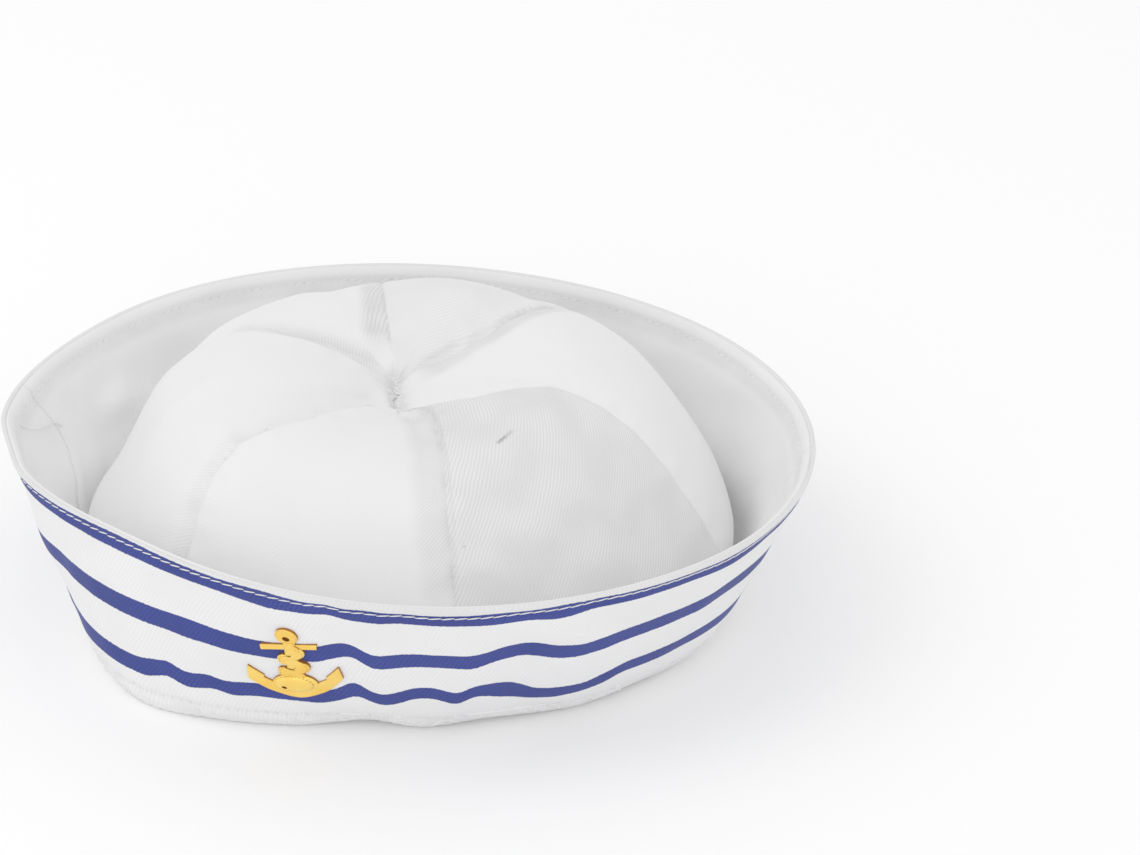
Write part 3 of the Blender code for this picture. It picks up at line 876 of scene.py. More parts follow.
class BrimSettings(bpy.types.PropertyGroup):
    """Sizes of the brim's hems."""

    topstitch: bpy.props.FloatProperty(
        name="Topstitching", description="Distance from the rim to the stitching on the striped cloth",
        default=3.1 * MM, min=0.001, unit="LENGTH")
    hem_depth: bpy.props.FloatProperty(
        name="Facing Hem", description="Distance from the rim to the stitching on the facing",
        default=4.8 * MM, min=0.001, unit="LENGTH")
    turn_under: bpy.props.FloatProperty(
        name="Turned Hem", description="Height of the hem turned up inside the crown",
        default=9 * MM, min=0.002, unit="LENGTH")
    foot_line: bpy.props.FloatProperty(
        name="Foot Stitching", description="Height of the stitching above the floor",
        default=6.8 * MM, min=0.002, unit="LENGTH")
    foot_puff: bpy.props.FloatProperty(
        name="Foot Puff", description="How far the gathered roll stands out below that stitching",
        default=0.7 * MM, min=0, unit="LENGTH")


class CrownSettings(bpy.types.PropertyGroup):
    """Depths of the crown's seams and gathers."""

    seam_depth: bpy.props.FloatProperty(
        name="Seam Depth", description="How far the seams pull the cloth in",
        default=0.5 * MM, min=0, unit="LENGTH")
    pucker: bpy.props.FloatProperty(
        name="Pucker", description="Height of the small puckers beside the seams",
        default=0.22 * MM, min=0, unit="LENGTH")
    gather_depth: bpy.props.FloatProperty(
        name="Gather Depth", description="Depth of the gathered middle of the crown",
        default=3.6 * MM, min=0, unit="LENGTH")


class StitchSettings(bpy.types.PropertyGroup):
    """Sizes of the sewing thread."""

    length: bpy.props.FloatProperty(
        name="Stitch Length", description="Length of one stitch", default=3.7 * MM,
        min=0.001, unit="LENGTH")
    gap: bpy.props.FloatProperty(
        name="Stitch Gap", description="Gap where the thread dips between stitches",
        default=0.0, min=0, unit="LENGTH")
    slant: bpy.props.FloatProperty(
        name="Stitch Slant", description="Turn of each stitch from its row, in degrees",
        default=10.0, min=0, max=30)
    thread: bpy.props.FloatProperty(
        name="Thread", description="Diameter of the thread, drawn a little stout so that it shows",
        default=0.37 * MM, min=0.0001, unit="LENGTH")
    colour: bpy.props.FloatVectorProperty(
        name="Thread Colour", description="Colour of the thread", subtype="COLOR",
        size=3, min=0, max=1, default=linear("#F4F4F4"))


class BadgeSettings(bpy.types.PropertyGroup):
    """Finish of the badge."""

    gold: bpy.props.FloatVectorProperty(
        name="Gold", description="Colour of the plating", subtype="COLOR",
        size=3, min=0, max=1, default=linear("#FFD465"))
    # Painted shade: the colour of the badge's side walls and eyes
    edge: bpy.props.FloatVectorProperty(
        name="Edge", description="Colour of the side walls", subtype="COLOR",
        size=3, min=0, max=1, default=linear("#B87838"))
    height: bpy.props.FloatProperty(
        name="Height", description="Height of the badge's middle above the floor",
        default=31.3 * MM, min=0, unit="LENGTH")
    plate: bpy.props.FloatProperty(
        name="Plate", description="How far the flat parts stand off the cloth",
        default=1.2 * MM, min=0.0005, unit="LENGTH")
    boss: bpy.props.FloatProperty(
        name="Boss", description="How far the boss stands off the plate",
        default=1.1 * MM, min=0, unit="LENGTH")


class StageSettings(bpy.types.PropertyGroup):
    """Light and floor."""

    sky: bpy.props.FloatProperty(
        name="Sky", description="Strength of the even studio light", default=0.9, min=0)
    key: bpy.props.FloatProperty(
        name="Key", description="Power of the large lamp, in watts", default=2.6, min=0)
    fill: bpy.props.FloatProperty(
        name="Fill", description="Power of the low lamp in front",
        default=1.5, min=0, unit="POWER")
    floor: bpy.props.FloatVectorProperty(
        name="Floor", description="Colour of the floor", subtype="COLOR",
        size=3, min=0, max=1, default=linear("#FFFFFF"))


# Brim

# Radius of the fold at the foot, and the height over which the foot's ripples fade
FOOT = 2.6 * MM
FOOT_FADE = 9 * MM

# Columns and rows of a brim cloth's wall, and its rows down to the floor
BRIM_COLUMNS = 236
BRIM_ROWS = 52
WALL_ROWS = BRIM_ROWS + 6


def seams_before(names):
    """Angle of the seam before each of the nodes that stand in a ring, in degrees."""
    ends = []
    for name in names:
        low = [v.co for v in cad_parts[name].data.vertices if v.co.z < 0.2 * MM]
        ordered = np.sort([math.degrees(math.atan2(p.y, p.x)) % 360 for p in low])
        gaps = np.diff(np.append(ordered, ordered[0] + 360))
        widest = np.argmax(gaps)
        ends.append((ordered[(widest + 1) % len(ordered)], ordered[widest]))
    seams = []
    for index, (first, _) in enumerate(ends):
        before = ends[index - 1][1]
        seams.append(before + aside_of(first, before) / 2)
    return seams


def half_angles(names, index):
    """Angles of the columns of one half of a cloth that goes round."""
    seams = seams_before(names)
    first = seams[index]
    last = first + (seams[1 - index] - first) % 360
    return np.linspace(first, last, BRIM_COLUMNS + 1)


def humped(off, height, width):
    """A soft ridge of a height and width, at distances from its line."""
    return height * np.exp(-(off / width) ** 2)


def foot_shift(angles, fade):
    """Moves of the brim's foot, in and up off the floor, faded by height."""
    inwards = 0.0
    rise = 0.0
    for middle, half_width, inner, up in FOOT_RIPPLES:
        near = fade * bump(angles, middle, half_width) * MM
        inwards = inwards + near * inner
        rise = rise + near * up
    turn = np.radians(angles)
    return np.stack([-inwards * np.cos(turn), -inwards * np.sin(turn), rise], axis=-1)


def striped_surface(index, settings):
    """The striped cloth's outside: down the wall, under at the floor, and up inside the crown."""
    angles = half_angles(OUTER_NODES, index)
    heights = np.linspace(BRIM_TOP, FOOT, BRIM_ROWS + 1)
    rows = [polar(angles, ring_radius(OUTER_RING, angles, height), height) for height in heights]
    low = ring_radius(OUTER_RING, angles, FOOT)
    inside = ring_radius(INSIDE_RING, angles, 2 * FOOT) - 0.5 * MM
    for turn in (18, 36, 54, 72, 90):
        t = math.radians(turn)
        rows.append(polar(angles, low - FOOT * (1 - math.cos(t)), FOOT * (1 - math.sin(t))))
    start = low - FOOT
    finish = inside - FOOT * 0.4
    for share in (0.34, 0.67, 1.0):
        rows.append(polar(angles, start + (finish - start) * share, 0.0))
    for share in (0.12, 0.4, 0.7, 1.0):
        height = settings.turn_under * share
        radius = ring_radius(INSIDE_RING, angles, height) - 0.5 * MM - FOOT * 0.4 * (1 - share) ** 2
        rows.append(polar(angles, radius, height))
    points = np.array(rows)
    fade = humped(points[..., 2], 1, FOOT_FADE)
    fade[WALL_ROWS:] = 0
    fade[WALL_ROWS:WALL_ROWS + 2] = [[0.66], [0.33]]
    points = points + foot_shift(angles, fade)
    normals = grid_normals(points[:WALL_ROWS], np.array([0, 0, BRIM_TOP]))
    down = row_lengths(points, 0)
    run = row_lengths(points, 1)
    wall = points[:WALL_ROWS]
    height = wall[..., 2]
    # The roll above the topstitching and the groove that it presses
    off = down[:WALL_ROWS] - settings.topstitch
    lift = humped(off + 2.0 * MM, 0.2 * MM, 1.4 * MM) - humped(off, 0.3 * MM, 0.8 * MM)
    # Unevenness of the standing cloth, from nothing at the rim
    ease = np.minimum(down[:WALL_ROWS] / (6 * MM), 1)
    lift += ease * even_noise(wall, 34 * MM, 3) * 0.3 * MM
    lift += ease * even_noise(wall, 12 * MM, 4) * 0.1 * MM
    # The groove of the foot's stitching, the roll below it, and its gathers
    foot = height - settings.foot_line
    lift -= humped(foot, 0.8 * MM, 0.9 * MM)
    lift += humped(foot + 2.6 * MM, 1.0, 1.9 * MM) * settings.foot_puff
    length = run[:WALL_ROWS] / MM
    waves = np.sin(length * 2 * np.pi / 6.3 + 1.4 * even_noise(wall, 25 * MM, 21))
    waves += 0.7 * np.sin(length * 2 * np.pi / 4.1 + 1.9 * even_noise(wall, 18 * MM, 22))
    waves *= 0.6 + 0.6 * even_noise(wall, 30 * MM, 23)
    waves += 0.8 * np.sin(length * 2 * np.pi / 2.7 + 2.3 * even_noise(wall, 11 * MM, 24))
    lift += waves * humped(foot + 1.2 * MM, 0.34 * MM, 3.2 * MM)
    points[:WALL_ROWS] = wall + normals * lift[..., None]
    points[..., 2] = np.maximum(points[..., 2], 0)
    return angles, points, down, run


class HAT_OT_striped_brim(bpy.types.Operator):
    """Makes the brim's striped outer cloth, in two halves sewn at the sides"""

    bl_idname = "captain_hat.striped_brim"
    bl_label = "Striped Brim"

    def execute(self, context):
        cloth = context.scene.hat_cloth
        brim = context.scene.hat_brim
        mat = striped_twill(cloth.brim_white, cloth.blue)
        back = twill_back(cloth.brim_white)
        for index, node in enumerate(OUTER_NODES):
            angles, points, down, run = striped_surface(index, brim)
            above_foot = np.where(np.arange(len(points)) <= BRIM_ROWS, brim.foot_line / MM, 99)[:, None]
            above_foot = above_foot - points[..., 2] / MM
            charts = {"cloth": np.stack([run, down], axis=-1) / MM,
                      "stripes": np.stack([run / MM, stripe_chart(angles, down / MM)], axis=-1),
                      "foot": np.stack([run / MM, above_foot], axis=-1)}
            piece = cloth_piece(node.replace("outer", "striped"), points, charts, True,
                                cloth.brim_thickness, mat, back)
            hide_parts(node)
        return {"FINISHED"}


def stripe_drop(table, angles):
    """How far a stripe strays down at each angle, in millimetres, rounded off between its rows."""
    turns, sizes = zip(*table)
    nearby = [np.interp(angles + aside, turns, sizes, period=360) for aside in (-1, -0.5, 0, 0.5, 1)]
    return np.mean(nearby, axis=0)


def stripe_chart(angles, down):
    """Distances from the rim in which each stripe runs straight, in millimetres."""
    drops = [stripe_drop(table, angles) for table in STRIPE_DROPS]
    spread = np.zeros((len(STRIPES), len(angles)))
    for stripe, middle, half_width, widening in STRIPE_WIDENINGS:
        spread[stripe] += widening * bump(angles, middle, half_width)
    chart = np.zeros_like(down)
    for column in range(down.shape[1]):
        places, shifts = [], []
        for (middle, width), drop, wider in zip(STRIPES, drops, spread[:, column]):
            for side in (-1, 1):
                shifts.append(drop[column] + side * wider / 2)
                places.append(middle + side * width / 2 + shifts[-1])
        chart[:, column] = down[:, column] - np.interp(down[:, column], places, shifts)
    return chart


def facing_surface(index, settings, walls):
    """The facing's visible side, from the rim down to the trough, two walls in from the striped side."""
    heights = np.linspace(BRIM_TOP, 1.5 * MM, BRIM_ROWS + 1)[:, None]
    lean = np.interp(heights / MM, *zip(*SIDE_SEAM))
    angles = half_angles(FACING_NODES, index)[None]
    angles = angles + bump(angles, 192, 45) * lean
    heights = heights + 0 * angles
    walls = walls - 0.4 * MM * np.clip(1 - (BRIM_TOP - heights) / (3 * MM), 0, 1)
    points = polar(angles, ring_radius(OUTER_RING, angles, heights) - walls, heights)
    points = points + foot_shift(angles, humped(heights, 1, FOOT_FADE))
    normals = grid_normals(points, np.array([0, 0, BRIM_TOP]))
    down = row_lengths(points, 0)
    run = row_lengths(points, 1)
    # The hem's roll, the groove of its stitching and the step to one layer
    off = down - settings.hem_depth
    lift = humped(off + 2.4 * MM, 0.5 * MM, 1.7 * MM) * np.minimum(down / (1.5 * MM), 1)
    lift -= humped(off, 0.25 * MM, 0.9 * MM)
    lift -= humped(off - 3.2 * MM, 0.3 * MM, 2.2 * MM)
    # Unevenness of the standing cloth, then its belly and its dents
    ease = np.minimum(down / (6 * MM), 1)
    lift += ease * even_noise(points, 36 * MM, 5) * 0.4 * MM
    lift += ease * even_noise(points, 13 * MM, 6) * 0.15 * MM
    lift += 0.9 * MM * np.sin(np.pi * np.clip(down / (56 * MM), 0, 1))
    for angle, height, rise, half_width, half_height in FACING_DENTS:
        tall = humped(heights - height * MM, 1, half_height * MM)
        lift += bump(angles, angle, half_width) * tall * rise * MM
    # The groove of the side seams and the roll beside it
    side = np.minimum(run, run[:, -1:] - run)
    lift -= ease * humped(side, 0.5 * MM, 1.4 * MM)
    lift += ease * humped(side - 4 * MM, 0.3 * MM, 2.4 * MM)
    points = points - normals * lift[..., None]
    return points, down, run


class HAT_OT_brim_facing(bpy.types.Operator):
    """Makes the brim's white inner cloth, in two halves sewn at the sides"""

    bl_idname = "captain_hat.brim_facing"
    bl_label = "Brim Facing"

    def execute(self, context):
        cloth = context.scene.hat_cloth
        brim = context.scene.hat_brim
        mat = facing_twill(cloth.facing_white_painted_light, brim.hem_depth / MM)
        for index, node in enumerate(FACING_NODES):
            points, down, run = facing_surface(index, brim, 2 * cloth.brim_thickness)
            charts = {"cloth": np.stack([run, down], axis=-1) / MM}
            piece = cloth_piece(node + "_cloth", points, charts, False, cloth.brim_thickness, mat)
            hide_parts(node)
        return {"FINISHED"}


# Crown

GORE_COLUMNS = 84
GORE_ROWS = 118


def unit(vectors):
    """Vectors brought to a length of 1."""
    return vectors / np.linalg.norm(vectors, axis=-1, keepdims=True)


def crown_normals(ways):
    """Unit normals of the crown's form in the given directions."""
    step = 0.01
    angle, _ = angle_and_fall(ways)
    aside = direction(angle + 90, np.full_like(angle, 90.0))
    ahead = np.cross(ways, aside)
    here = crown_points(ways)
    across = crown_points(unit(ways + step * aside)) - here
    along = crown_points(unit(ways + step * ahead)) - here
    normals = unit(np.cross(across, along))
    outward = np.sum(normals * ways, axis=-1, keepdims=True)
    return np.where(outward < 0, -normals, normals)


def seam_ways(seam):
    """Directions down one seam of the crown, from the gathered middle to the floor."""
    angles, falls = np.array(CROWN_SEAMS[seam], float).T
    ways = direction(angles, falls)
    shares = (falls - falls[0]) / (falls[-1] - falls[0])
    down = np.linspace(0, 1, GORE_ROWS + 1)
    return unit(softened(at_length(down, shares, ways).T, 2).T)


def gore_ways(index):
    """Directions over one gore, whose sides are two seams."""
    first = seam_ways(index)[:, None]
    last = seam_ways((index + 1) % len(GORE_NODES))[:, None]
    across = np.linspace(0, 1, GORE_COLUMNS + 1)[None, :, None]
    return unit(first + (last - first) * across)


def beside_path(points, path):
    """Distance from points to a path, length run along it, and side: 1 to the left, -1 to the right."""
    nearest = np.full(points.shape[:-1], np.inf)
    run = np.zeros(points.shape[:-1])
    side = np.ones(points.shape[:-1])
    start = 0.0
    for a, b in zip(path, path[1:]):
        line = b - a
        length = np.linalg.norm(line)
        share = np.clip((points - a) @ line / length ** 2, 0, 1)
        off = points - a - share[..., None] * line
        far = np.linalg.norm(off, axis=-1)
        closer = far < nearest
        nearest = np.where(closer, far, nearest)
        run = np.where(closer, start + share * length, run)
        turn = np.sum(np.cross(line, off) * (points - HEART), axis=-1)
        side = np.where(closer, np.sign(turn), side)
        start += length
    return nearest, run, side, start


def crown_folds(points):
    """Height of the crown's folds at points, in metres."""
    lift = np.zeros(points.shape[:-1])
    for fold, left, left_width, right, right_width, fade in FOLD_SECTIONS:
        path = [crown_above(x * MM, y * MM) for x, y in FOLD_LINES[fold]]
        far, run, side, length = beside_path(points, path)
        leftness = 0.5 + 0.5 * np.tanh(side * far / (0.8 * MM))
        rise = leftness * humped(far, left, left_width * MM)
        rise += (1 - leftness) * humped(far, right, right_width * MM)
        ends = np.clip(np.minimum(run, length - run) / (fade * MM), 0, 1)
        lift += rise * ends ** 2 * (3 - 2 * ends) * MM
    return lift


def crown_swell(ways):
    """How far the crown stands out from its solid in the given unit directions, in metres."""
    angle, fall = angle_and_fall(ways)
    lift = np.zeros(ways.shape[:-1])
    for middle, half_width, low, half_height, outwards in CROWN_SWELLS:
        wide = humped(aside_of(angle, middle), outwards * MM, half_width)
        lift += wide * humped(fall - low, 1, half_height)
    return lift


def gather(points, depth):
    """The sewn-together middle of the crown: a short trough with small creases across it."""
    ends = [crown_above(x * MM, y * MM) for x, y in GATHER_ENDS]
    far, run, _, length = beside_path(points, ends)
    trough = -humped(far, depth, 2.4 * MM) - humped(far, 0.22 * depth, 10 * MM)
    creases = np.cos(run / length * 7 * np.pi + far / MM * 0.7)
    return trough + creases * humped(far - 1.8 * MM, 0.1 * MM, 1.6 * MM)


def seam_relief(points, paths, settings):
    """Pull of the nearest seam, and the puckers that it raises."""
    nearest = np.full(points.shape[:-1], np.inf)
    run = np.zeros(points.shape[:-1])
    phase = np.zeros(points.shape[:-1])
    for seam, path in enumerate(paths):
        far, along, _, _ = beside_path(points, path)
        closer = far < nearest
        nearest = np.where(closer, far, nearest)
        run = np.where(closer, along, run)
        phase = np.where(closer, 1.7 * seam, phase)
    pull = -humped(nearest, settings.seam_depth, 0.9 * MM)
    wide = -humped(nearest, settings.seam_depth * 0.9, 5 * MM)
    length = run / MM
    waves = np.sin(length * 2 * np.pi / 9.5 + phase) + np.sin(length * 2 * np.pi / 15.5 + 2 * phase)
    beside = humped(nearest, 1, 6 * MM) - humped(nearest, 1, 1.0 * MM)
    return pull + wide + settings.pucker * waves * np.maximum(beside, 0)


def seam_shade_chart(index, points, paths):
    """For each point of a gore, its share of the way across a band of painted seam shade, and how grey
    that is.

    With it, where the point lies along and beside that seam, in millimetres, for the needle holes.
    """
    chart = np.zeros(points.shape[:-1] + (2,))
    chart[..., 0] = 9.0
    row = np.full(points.shape[:-1] + (2,), 99.0)
    for gore, seam, width, start, end, grey in PAINTED_SEAM_SHADES:
        if gore == index:
            far, run, _, _ = beside_path(points, paths[seam])
            share = far / (width * MM)
            fade = np.clip((run / MM - start) / 6, 0, 1) * np.clip((end - run / MM) / 10, 0, 1)
            closer = share < chart[..., 0]
            chart[..., 0] = np.where(closer, share, chart[..., 0])
            chart[..., 1] = np.where(closer, grey * fade, chart[..., 1])
            row = np.where(closer[..., None], np.stack([run, far], axis=-1) / MM, row)
    return chart, row


class HAT_OT_crown(bpy.types.Operator):
    """Makes the crown's six gores, with their seams, puckers and folds"""

    bl_idname = "captain_hat.crown"
    bl_label = "Crown"

    def execute(self, context):
        cloth = context.scene.hat_cloth
        settings = context.scene.hat_crown
        mat = crown_twill(cloth.white)
        paths = [crown_points(seam_ways(seam)[::4]) for seam in range(len(GORE_NODES))]
        for index, node in enumerate(GORE_NODES):
            ways = gore_ways(index)
            points = crown_points(ways)
            across = row_lengths(points, 1)
            down = row_lengths(points, 0)
            width = across[:, -1:]
            relief = seam_relief(points, paths, settings)
            lift = crown_folds(points) + gather(points, settings.gather_depth) + relief
            lift += crown_swell(ways)
            lift += even_noise(points, 44 * MM, 8) * 0.5 * MM
            lift += even_noise(points, 15 * MM, 9) * 0.1 * MM
            free = np.clip((points[..., 2] - 3 * MM) / (12 * MM), 0, 1)
            points = points + crown_normals(ways) * (lift * free)[..., None]
            allowances, row = seam_shade_chart(index, points, paths)
            charts = {"cloth": np.stack([across - width / 2, down], axis=-1) / MM,
                      "seams": row, "allowances": allowances}
            piece = cloth_piece(node + "_cloth", points, charts, True, cloth.crown_thickness, mat)
            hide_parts(node)
        return {"FINISHED"}


# Stitching

# Heights of the rows of thread over their cloths, and share of its length that a stitch
# reaches to each side of its middle, so that each just meets the next
RIM_LIFT = 0.12 * MM
FOOT_LIFT = -0.02 * MM
HEM_LIFT = -0.06 * MM
STITCH_REACH = 0.58

# Radii of the loose threads
FACING_THREAD = 0.2 * MM
GATHER_THREAD = 0.14 * MM


def stitch_row(bm, points, outs, settings, lift):
    """Adds a row of stitches along points of a cloth and the directions out of it."""
    run = run_along(points)
    pitch = settings.length + settings.gap
    slant = math.radians(settings.slant)
    for k in range(int(run[-1] / pitch)):
        middle = (k + 0.5) * pitch
        here = Vector(at_length(middle, run, points))
        ahead = Vector(at_length(middle + 0.5 * MM, run, points))
        out = Vector(at_length(middle, run, outs)).normalized()
        along = (ahead - here).normalized()
        side = out.cross(along).normalized()
        along = along * math.cos(slant) + side * math.sin(slant)
        side = out.cross(along).normalized()
        turn = Matrix((along, side, out)).transposed().to_4x4()
        radius = settings.thread / 2
        scale = Matrix.Diagonal((settings.length * STITCH_REACH, radius, radius, 1))
        place = Matrix.Translation(here + out * lift) @ turn @ scale
        bmesh.ops.create_uvsphere(bm, u_segments=6, v_segments=5, radius=1.0,
                                  matrix=place @ Matrix.Rotation(math.pi / 2, 4, "Y"))


def thread_end(bm, points, radius):
    """Adds a loose thread along a few points, rounded off between them."""
    path = [Vector(point) for point in rounded(points, np.arange(0, len(points) - 1 + 1e-6, 0.25))]
    turns = [(b - a).to_track_quat("Z", "Y").to_matrix().to_4x4() for a, b in zip(path, path[1:])]
    turns.append(turns[-1])
    made = bmesh.ops.create_circle(bm, cap_ends=True, segments=5, radius=radius,
                                   matrix=Matrix.Translation(path[0]) @ turns[0])
    ring = made["verts"]
    edges = [edge for edge in bm.edges if all(vert in ring for vert in edge.verts)]
    for before, here, turn, last in zip(path, path[1:], turns[1:], turns):
        grown = bmesh.ops.extrude_edge_only(bm, edges=edges)["geom"]
        verts = [item for item in grown if isinstance(item, bmesh.types.BMVert)]
        edges = [item for item in grown if isinstance(item, bmesh.types.BMEdge)]
        edges = [edge for edge in edges if all(vert in verts for vert in edge.verts)]
        carry = Matrix.Translation(here) @ turn @ last.inverted() @ Matrix.Translation(-before)
        bmesh.ops.transform(bm, matrix=carry, verts=verts)
    bmesh.ops.contextual_create(bm, geom=edges)


def row_at(points, down, distance, outward):
    """A row of points across a cloth at a distance from its first row, with directions out of it."""
    distance = np.broadcast_to(distance, points.shape[1])
    row = [at_length(distance[column], down[:, column], points[:, column])
           for column in range(points.shape[1])]
    normals = grid_normals(points[:BRIM_ROWS], np.array([0, 0, BRIM_TOP]))
    rank = np.argmin(np.abs(down[:BRIM_ROWS, 0] - distance[0]))
    return np.array(row), normals[rank] if outward else -normals[rank]


def facing_thread(bm, facing, walls):
    """Adds the loose thread end that lies on the facing's points."""
    path = []
    for angle, height in LOOSE_THREAD:
        radius = ring_radius(OUTER_RING, np.array([angle]), np.array([height * MM]))[0]
        near = polar(np.float64(angle), radius - walls, height * MM)
        on = facing[np.argmin(np.linalg.norm(facing - near, axis=1))]
        off = (0.4 + 0.9 * math.sin(math.pi * len(path) / (len(LOOSE_THREAD) - 1))) * MM
        path.append(on * (1 - off / radius * np.array([1, 1, 0])))
    thread_end(bm, path, FACING_THREAD)


def gather_threads(bm):
    """Adds the short thread ends across the crown's gathered middle."""
    start, end = [crown_above(x * MM, y * MM) for x, y in GATHER_ENDS]
    rise = np.array([0, 0, 0.7 * MM])
    for share in np.linspace(0.02, 0.98, 10):
        swing = math.radians(38 * math.cos(37 * share) - 10)
        # Each lies in the trough, below the crown's measured form
        middle = start + (end - start) * share - np.array([0, 0, 1.9 * MM])
        way = np.array([math.cos(swing), math.sin(swing), 0.1]) * 1.5 * MM
        path = [middle - way + rise, middle - 0.4 * way, middle + 0.4 * way, middle + way + rise]
        thread_end(bm, path, GATHER_THREAD)


class HAT_OT_stitching(bpy.types.Operator):
    """Sews the topstitching round the rim and the stitching above the brim's foot"""

    bl_idname = "captain_hat.stitching"
    bl_label = "Stitching"

    def execute(self, context):
        stitch = context.scene.hat_stitches
        brim = context.scene.hat_brim
        cloth = context.scene.hat_cloth
        mat = thread_material(stitch.colour)
        facing = []
        rim = bmesh.new()
        foot = bmesh.new()
        inner = bmesh.new()
        for index in range(2):
            angles, points, down, _ = striped_surface(index, brim)
            below = brim.topstitch + 0.9 * stripe_drop(STRIPE_DROPS[0], angles) * MM
            stitch_row(rim, *row_at(points, down, below, True), stitch, RIM_LIFT)
            line = float(np.interp(-brim.foot_line, -points[:BRIM_ROWS, 0, 2], down[:BRIM_ROWS, 0]))
            stitch_row(foot, *row_at(points, down, line, True), stitch, FOOT_LIFT)
            points, down, _ = facing_surface(index, brim, 2 * cloth.brim_thickness)
            facing.append(points.reshape(-1, 3))
            stitch_row(inner, *row_at(points, down, brim.hem_depth, False), stitch, HEM_LIFT)
        loose = bmesh.new()
        facing_thread(loose, np.concatenate(facing), 2 * cloth.brim_thickness)
        gather_threads(loose)
        bmesh.ops.recalc_face_normals(loose, faces=loose.faces[:])
        for name, bm, slot in (("rim_topstitching", rim, STRIPED_SLOT),
                               ("thread_ends", loose, WHITE_SLOT),
                               ("foot_stitching", foot, STRIPED_SLOT),
                               ("facing_stitching", inner, WHITE_SLOT)):
            piece = new_piece(name, bm, mat)
        return {"FINISHED"}


# Badge and stage


# In millimetres: from one cut strand mark of the rope to the next, how deep the badge's walls
# reach into the cloth, the bevel along its edges, and how high the floors of its eyes lie
MARK_SPACING = 1.3
BADGE_BACK = -0.2
PLATE_EDGE = 0.25
EYE_FLOOR = 0.3


def oval(centre_x, centre_y, half_width, half_height, tilt=0.0, count=56):
    """Points round an oval, the first again at the end."""
    a = np.linspace(0, 2 * np.pi, count + 1)
    t = math.radians(tilt)
    x, y = half_width * np.cos(a), half_height * np.sin(a)
    return np.stack([centre_x + x * math.cos(t) - y * math.sin(t),
                     centre_y + x * math.sin(t) + y * math.cos(t)], axis=-1)


def rounded_strip(start, end, half_width, count=56):
    """Points round a straight strip with round ends, the first again at the end."""
    start, end = np.array(start), np.array(end)
    along = unit(end - start)
    a = np.linspace(-np.pi / 2, np.pi * 3 / 2, count + 1)
    side = np.array([-along[1], along[0]])
    ring = np.cos(a)[:, None] * along + np.sin(a)[:, None] * side
    return np.where((np.cos(a) >= 0)[:, None], end, start) + half_width * ring


def evened(points, count, smooth):
    """Points spaced evenly along a line through a few points, rounded off between them or straight."""
    points = np.array(points)
    if smooth:
        points = rounded(points, np.linspace(0, len(points) - 1, 20 * len(points)))
    run = run_along(points)
    return at_length(np.linspace(0, run[-1], count), run, points)


def lofted(bm, sections, chart):
    """A surface through sections that each hold as many points, closed where they meet."""
    rows, columns = sections.shape[0] - 1, sections.shape[1] - 1
    made = bmesh.ops.create_grid(bm, x_segments=columns, y_segments=rows, size=1.0)["verts"]
    layer = bm.loops.layers.uv.verify()
    for vert, place in grid_places(made, rows, columns).items():
        for loop in vert.link_loops:
            loop[layer].uv = Vector(chart[place])
        vert.co = sections[place]
    bmesh.ops.remove_doubles(bm, verts=made, dist=0.001)


def raised_form(bm, outline, eye, top):
    """A low form with its outline on the cloth, whose top sinks at its eye. Millimetres."""
    middle = np.broadcast_to(eye.mean(axis=0), eye.shape)
    run = run_along(outline)
    rows = [(middle, BADGE_BACK, 0), (outline, BADGE_BACK, 0), (outline, top(outline) - PLATE_EDGE, 0)]
    for share in (0.04, 0.08, 0.14, 0.22, 0.32, 0.45, 0.6, 0.75, 0.9, 1.0):
        flat = outline + (eye - outline) * share
        edge = PLATE_EDGE * max(1 - share / 0.08, 0) ** 2
        rows.append((flat, top(flat) - edge, share))
    if not np.allclose(eye, middle):
        rows.append((eye, EYE_FLOOR, 1))
        rows.append((middle, EYE_FLOOR, 1))
    sections = np.array([np.concatenate([flat, np.broadcast_to(height, run.shape)[:, None]], axis=1)
                         for flat, height, _ in rows])
    chart = np.array([np.stack([run, np.full_like(run, 4 * share)], axis=-1) for _, _, share in rows])
    lofted(bm, sections, chart)


def raised_bar(bm, low_edge, high_edge, height, smooth=False, count=2):
    """A flat bar between two edges, bevelled along them and closed at its ends. Millimetres."""
    low = evened(low_edge, count, smooth)
    high = evened(high_edge, count, False)
    across = np.linalg.norm(high - low, axis=1)[:, None]
    inset = np.minimum(PLATE_EDGE / across, 0.3)
    rows = []
    for share, level in ((0, BADGE_BACK), (0, height - PLATE_EDGE), (inset, height),
                         (1 - inset, height), (1, height - PLATE_EDGE), (1, BADGE_BACK), (0, BADGE_BACK)):
        flat = low + (high - low) * share
        rows.append(np.concatenate([flat, np.full((count, 1), level)], axis=1))
    lofted(bm, np.array(rows), np.zeros((len(rows), count, 2)))
    open_edges = [edge for edge in bm.edges if edge.is_boundary]
    bmesh.ops.holes_fill(bm, edges=open_edges, sides=0)


def on_the_wall(points, height):
    """Points of the badge, in millimetres, carried onto the brim's front wall."""
    middle = np.array([height])
    front = np.array([270.0])
    step = 5 * MM
    degree = math.radians(1) * ring_radius(OUTER_RING, front, middle)
    flare = ring_radius(OUTER_RING, front, middle + step) - ring_radius(OUTER_RING, front, middle - step)
    slope = np.hypot(2 * step, flare) / (2 * step)
    corners = []
    for aside, above in ((0, 0), (1, 0), (0, 1)):
        angles = front + (points[:, 0] + aside) * MM / degree
        levels = middle + (points[:, 1] + above) * MM / slope
        corners.append(polar(angles, ring_radius(OUTER_RING, angles, levels), levels))
    here, beside, above = corners
    return here + unit(np.cross(beside - here, above - here)) * points[:, 2:] * MM


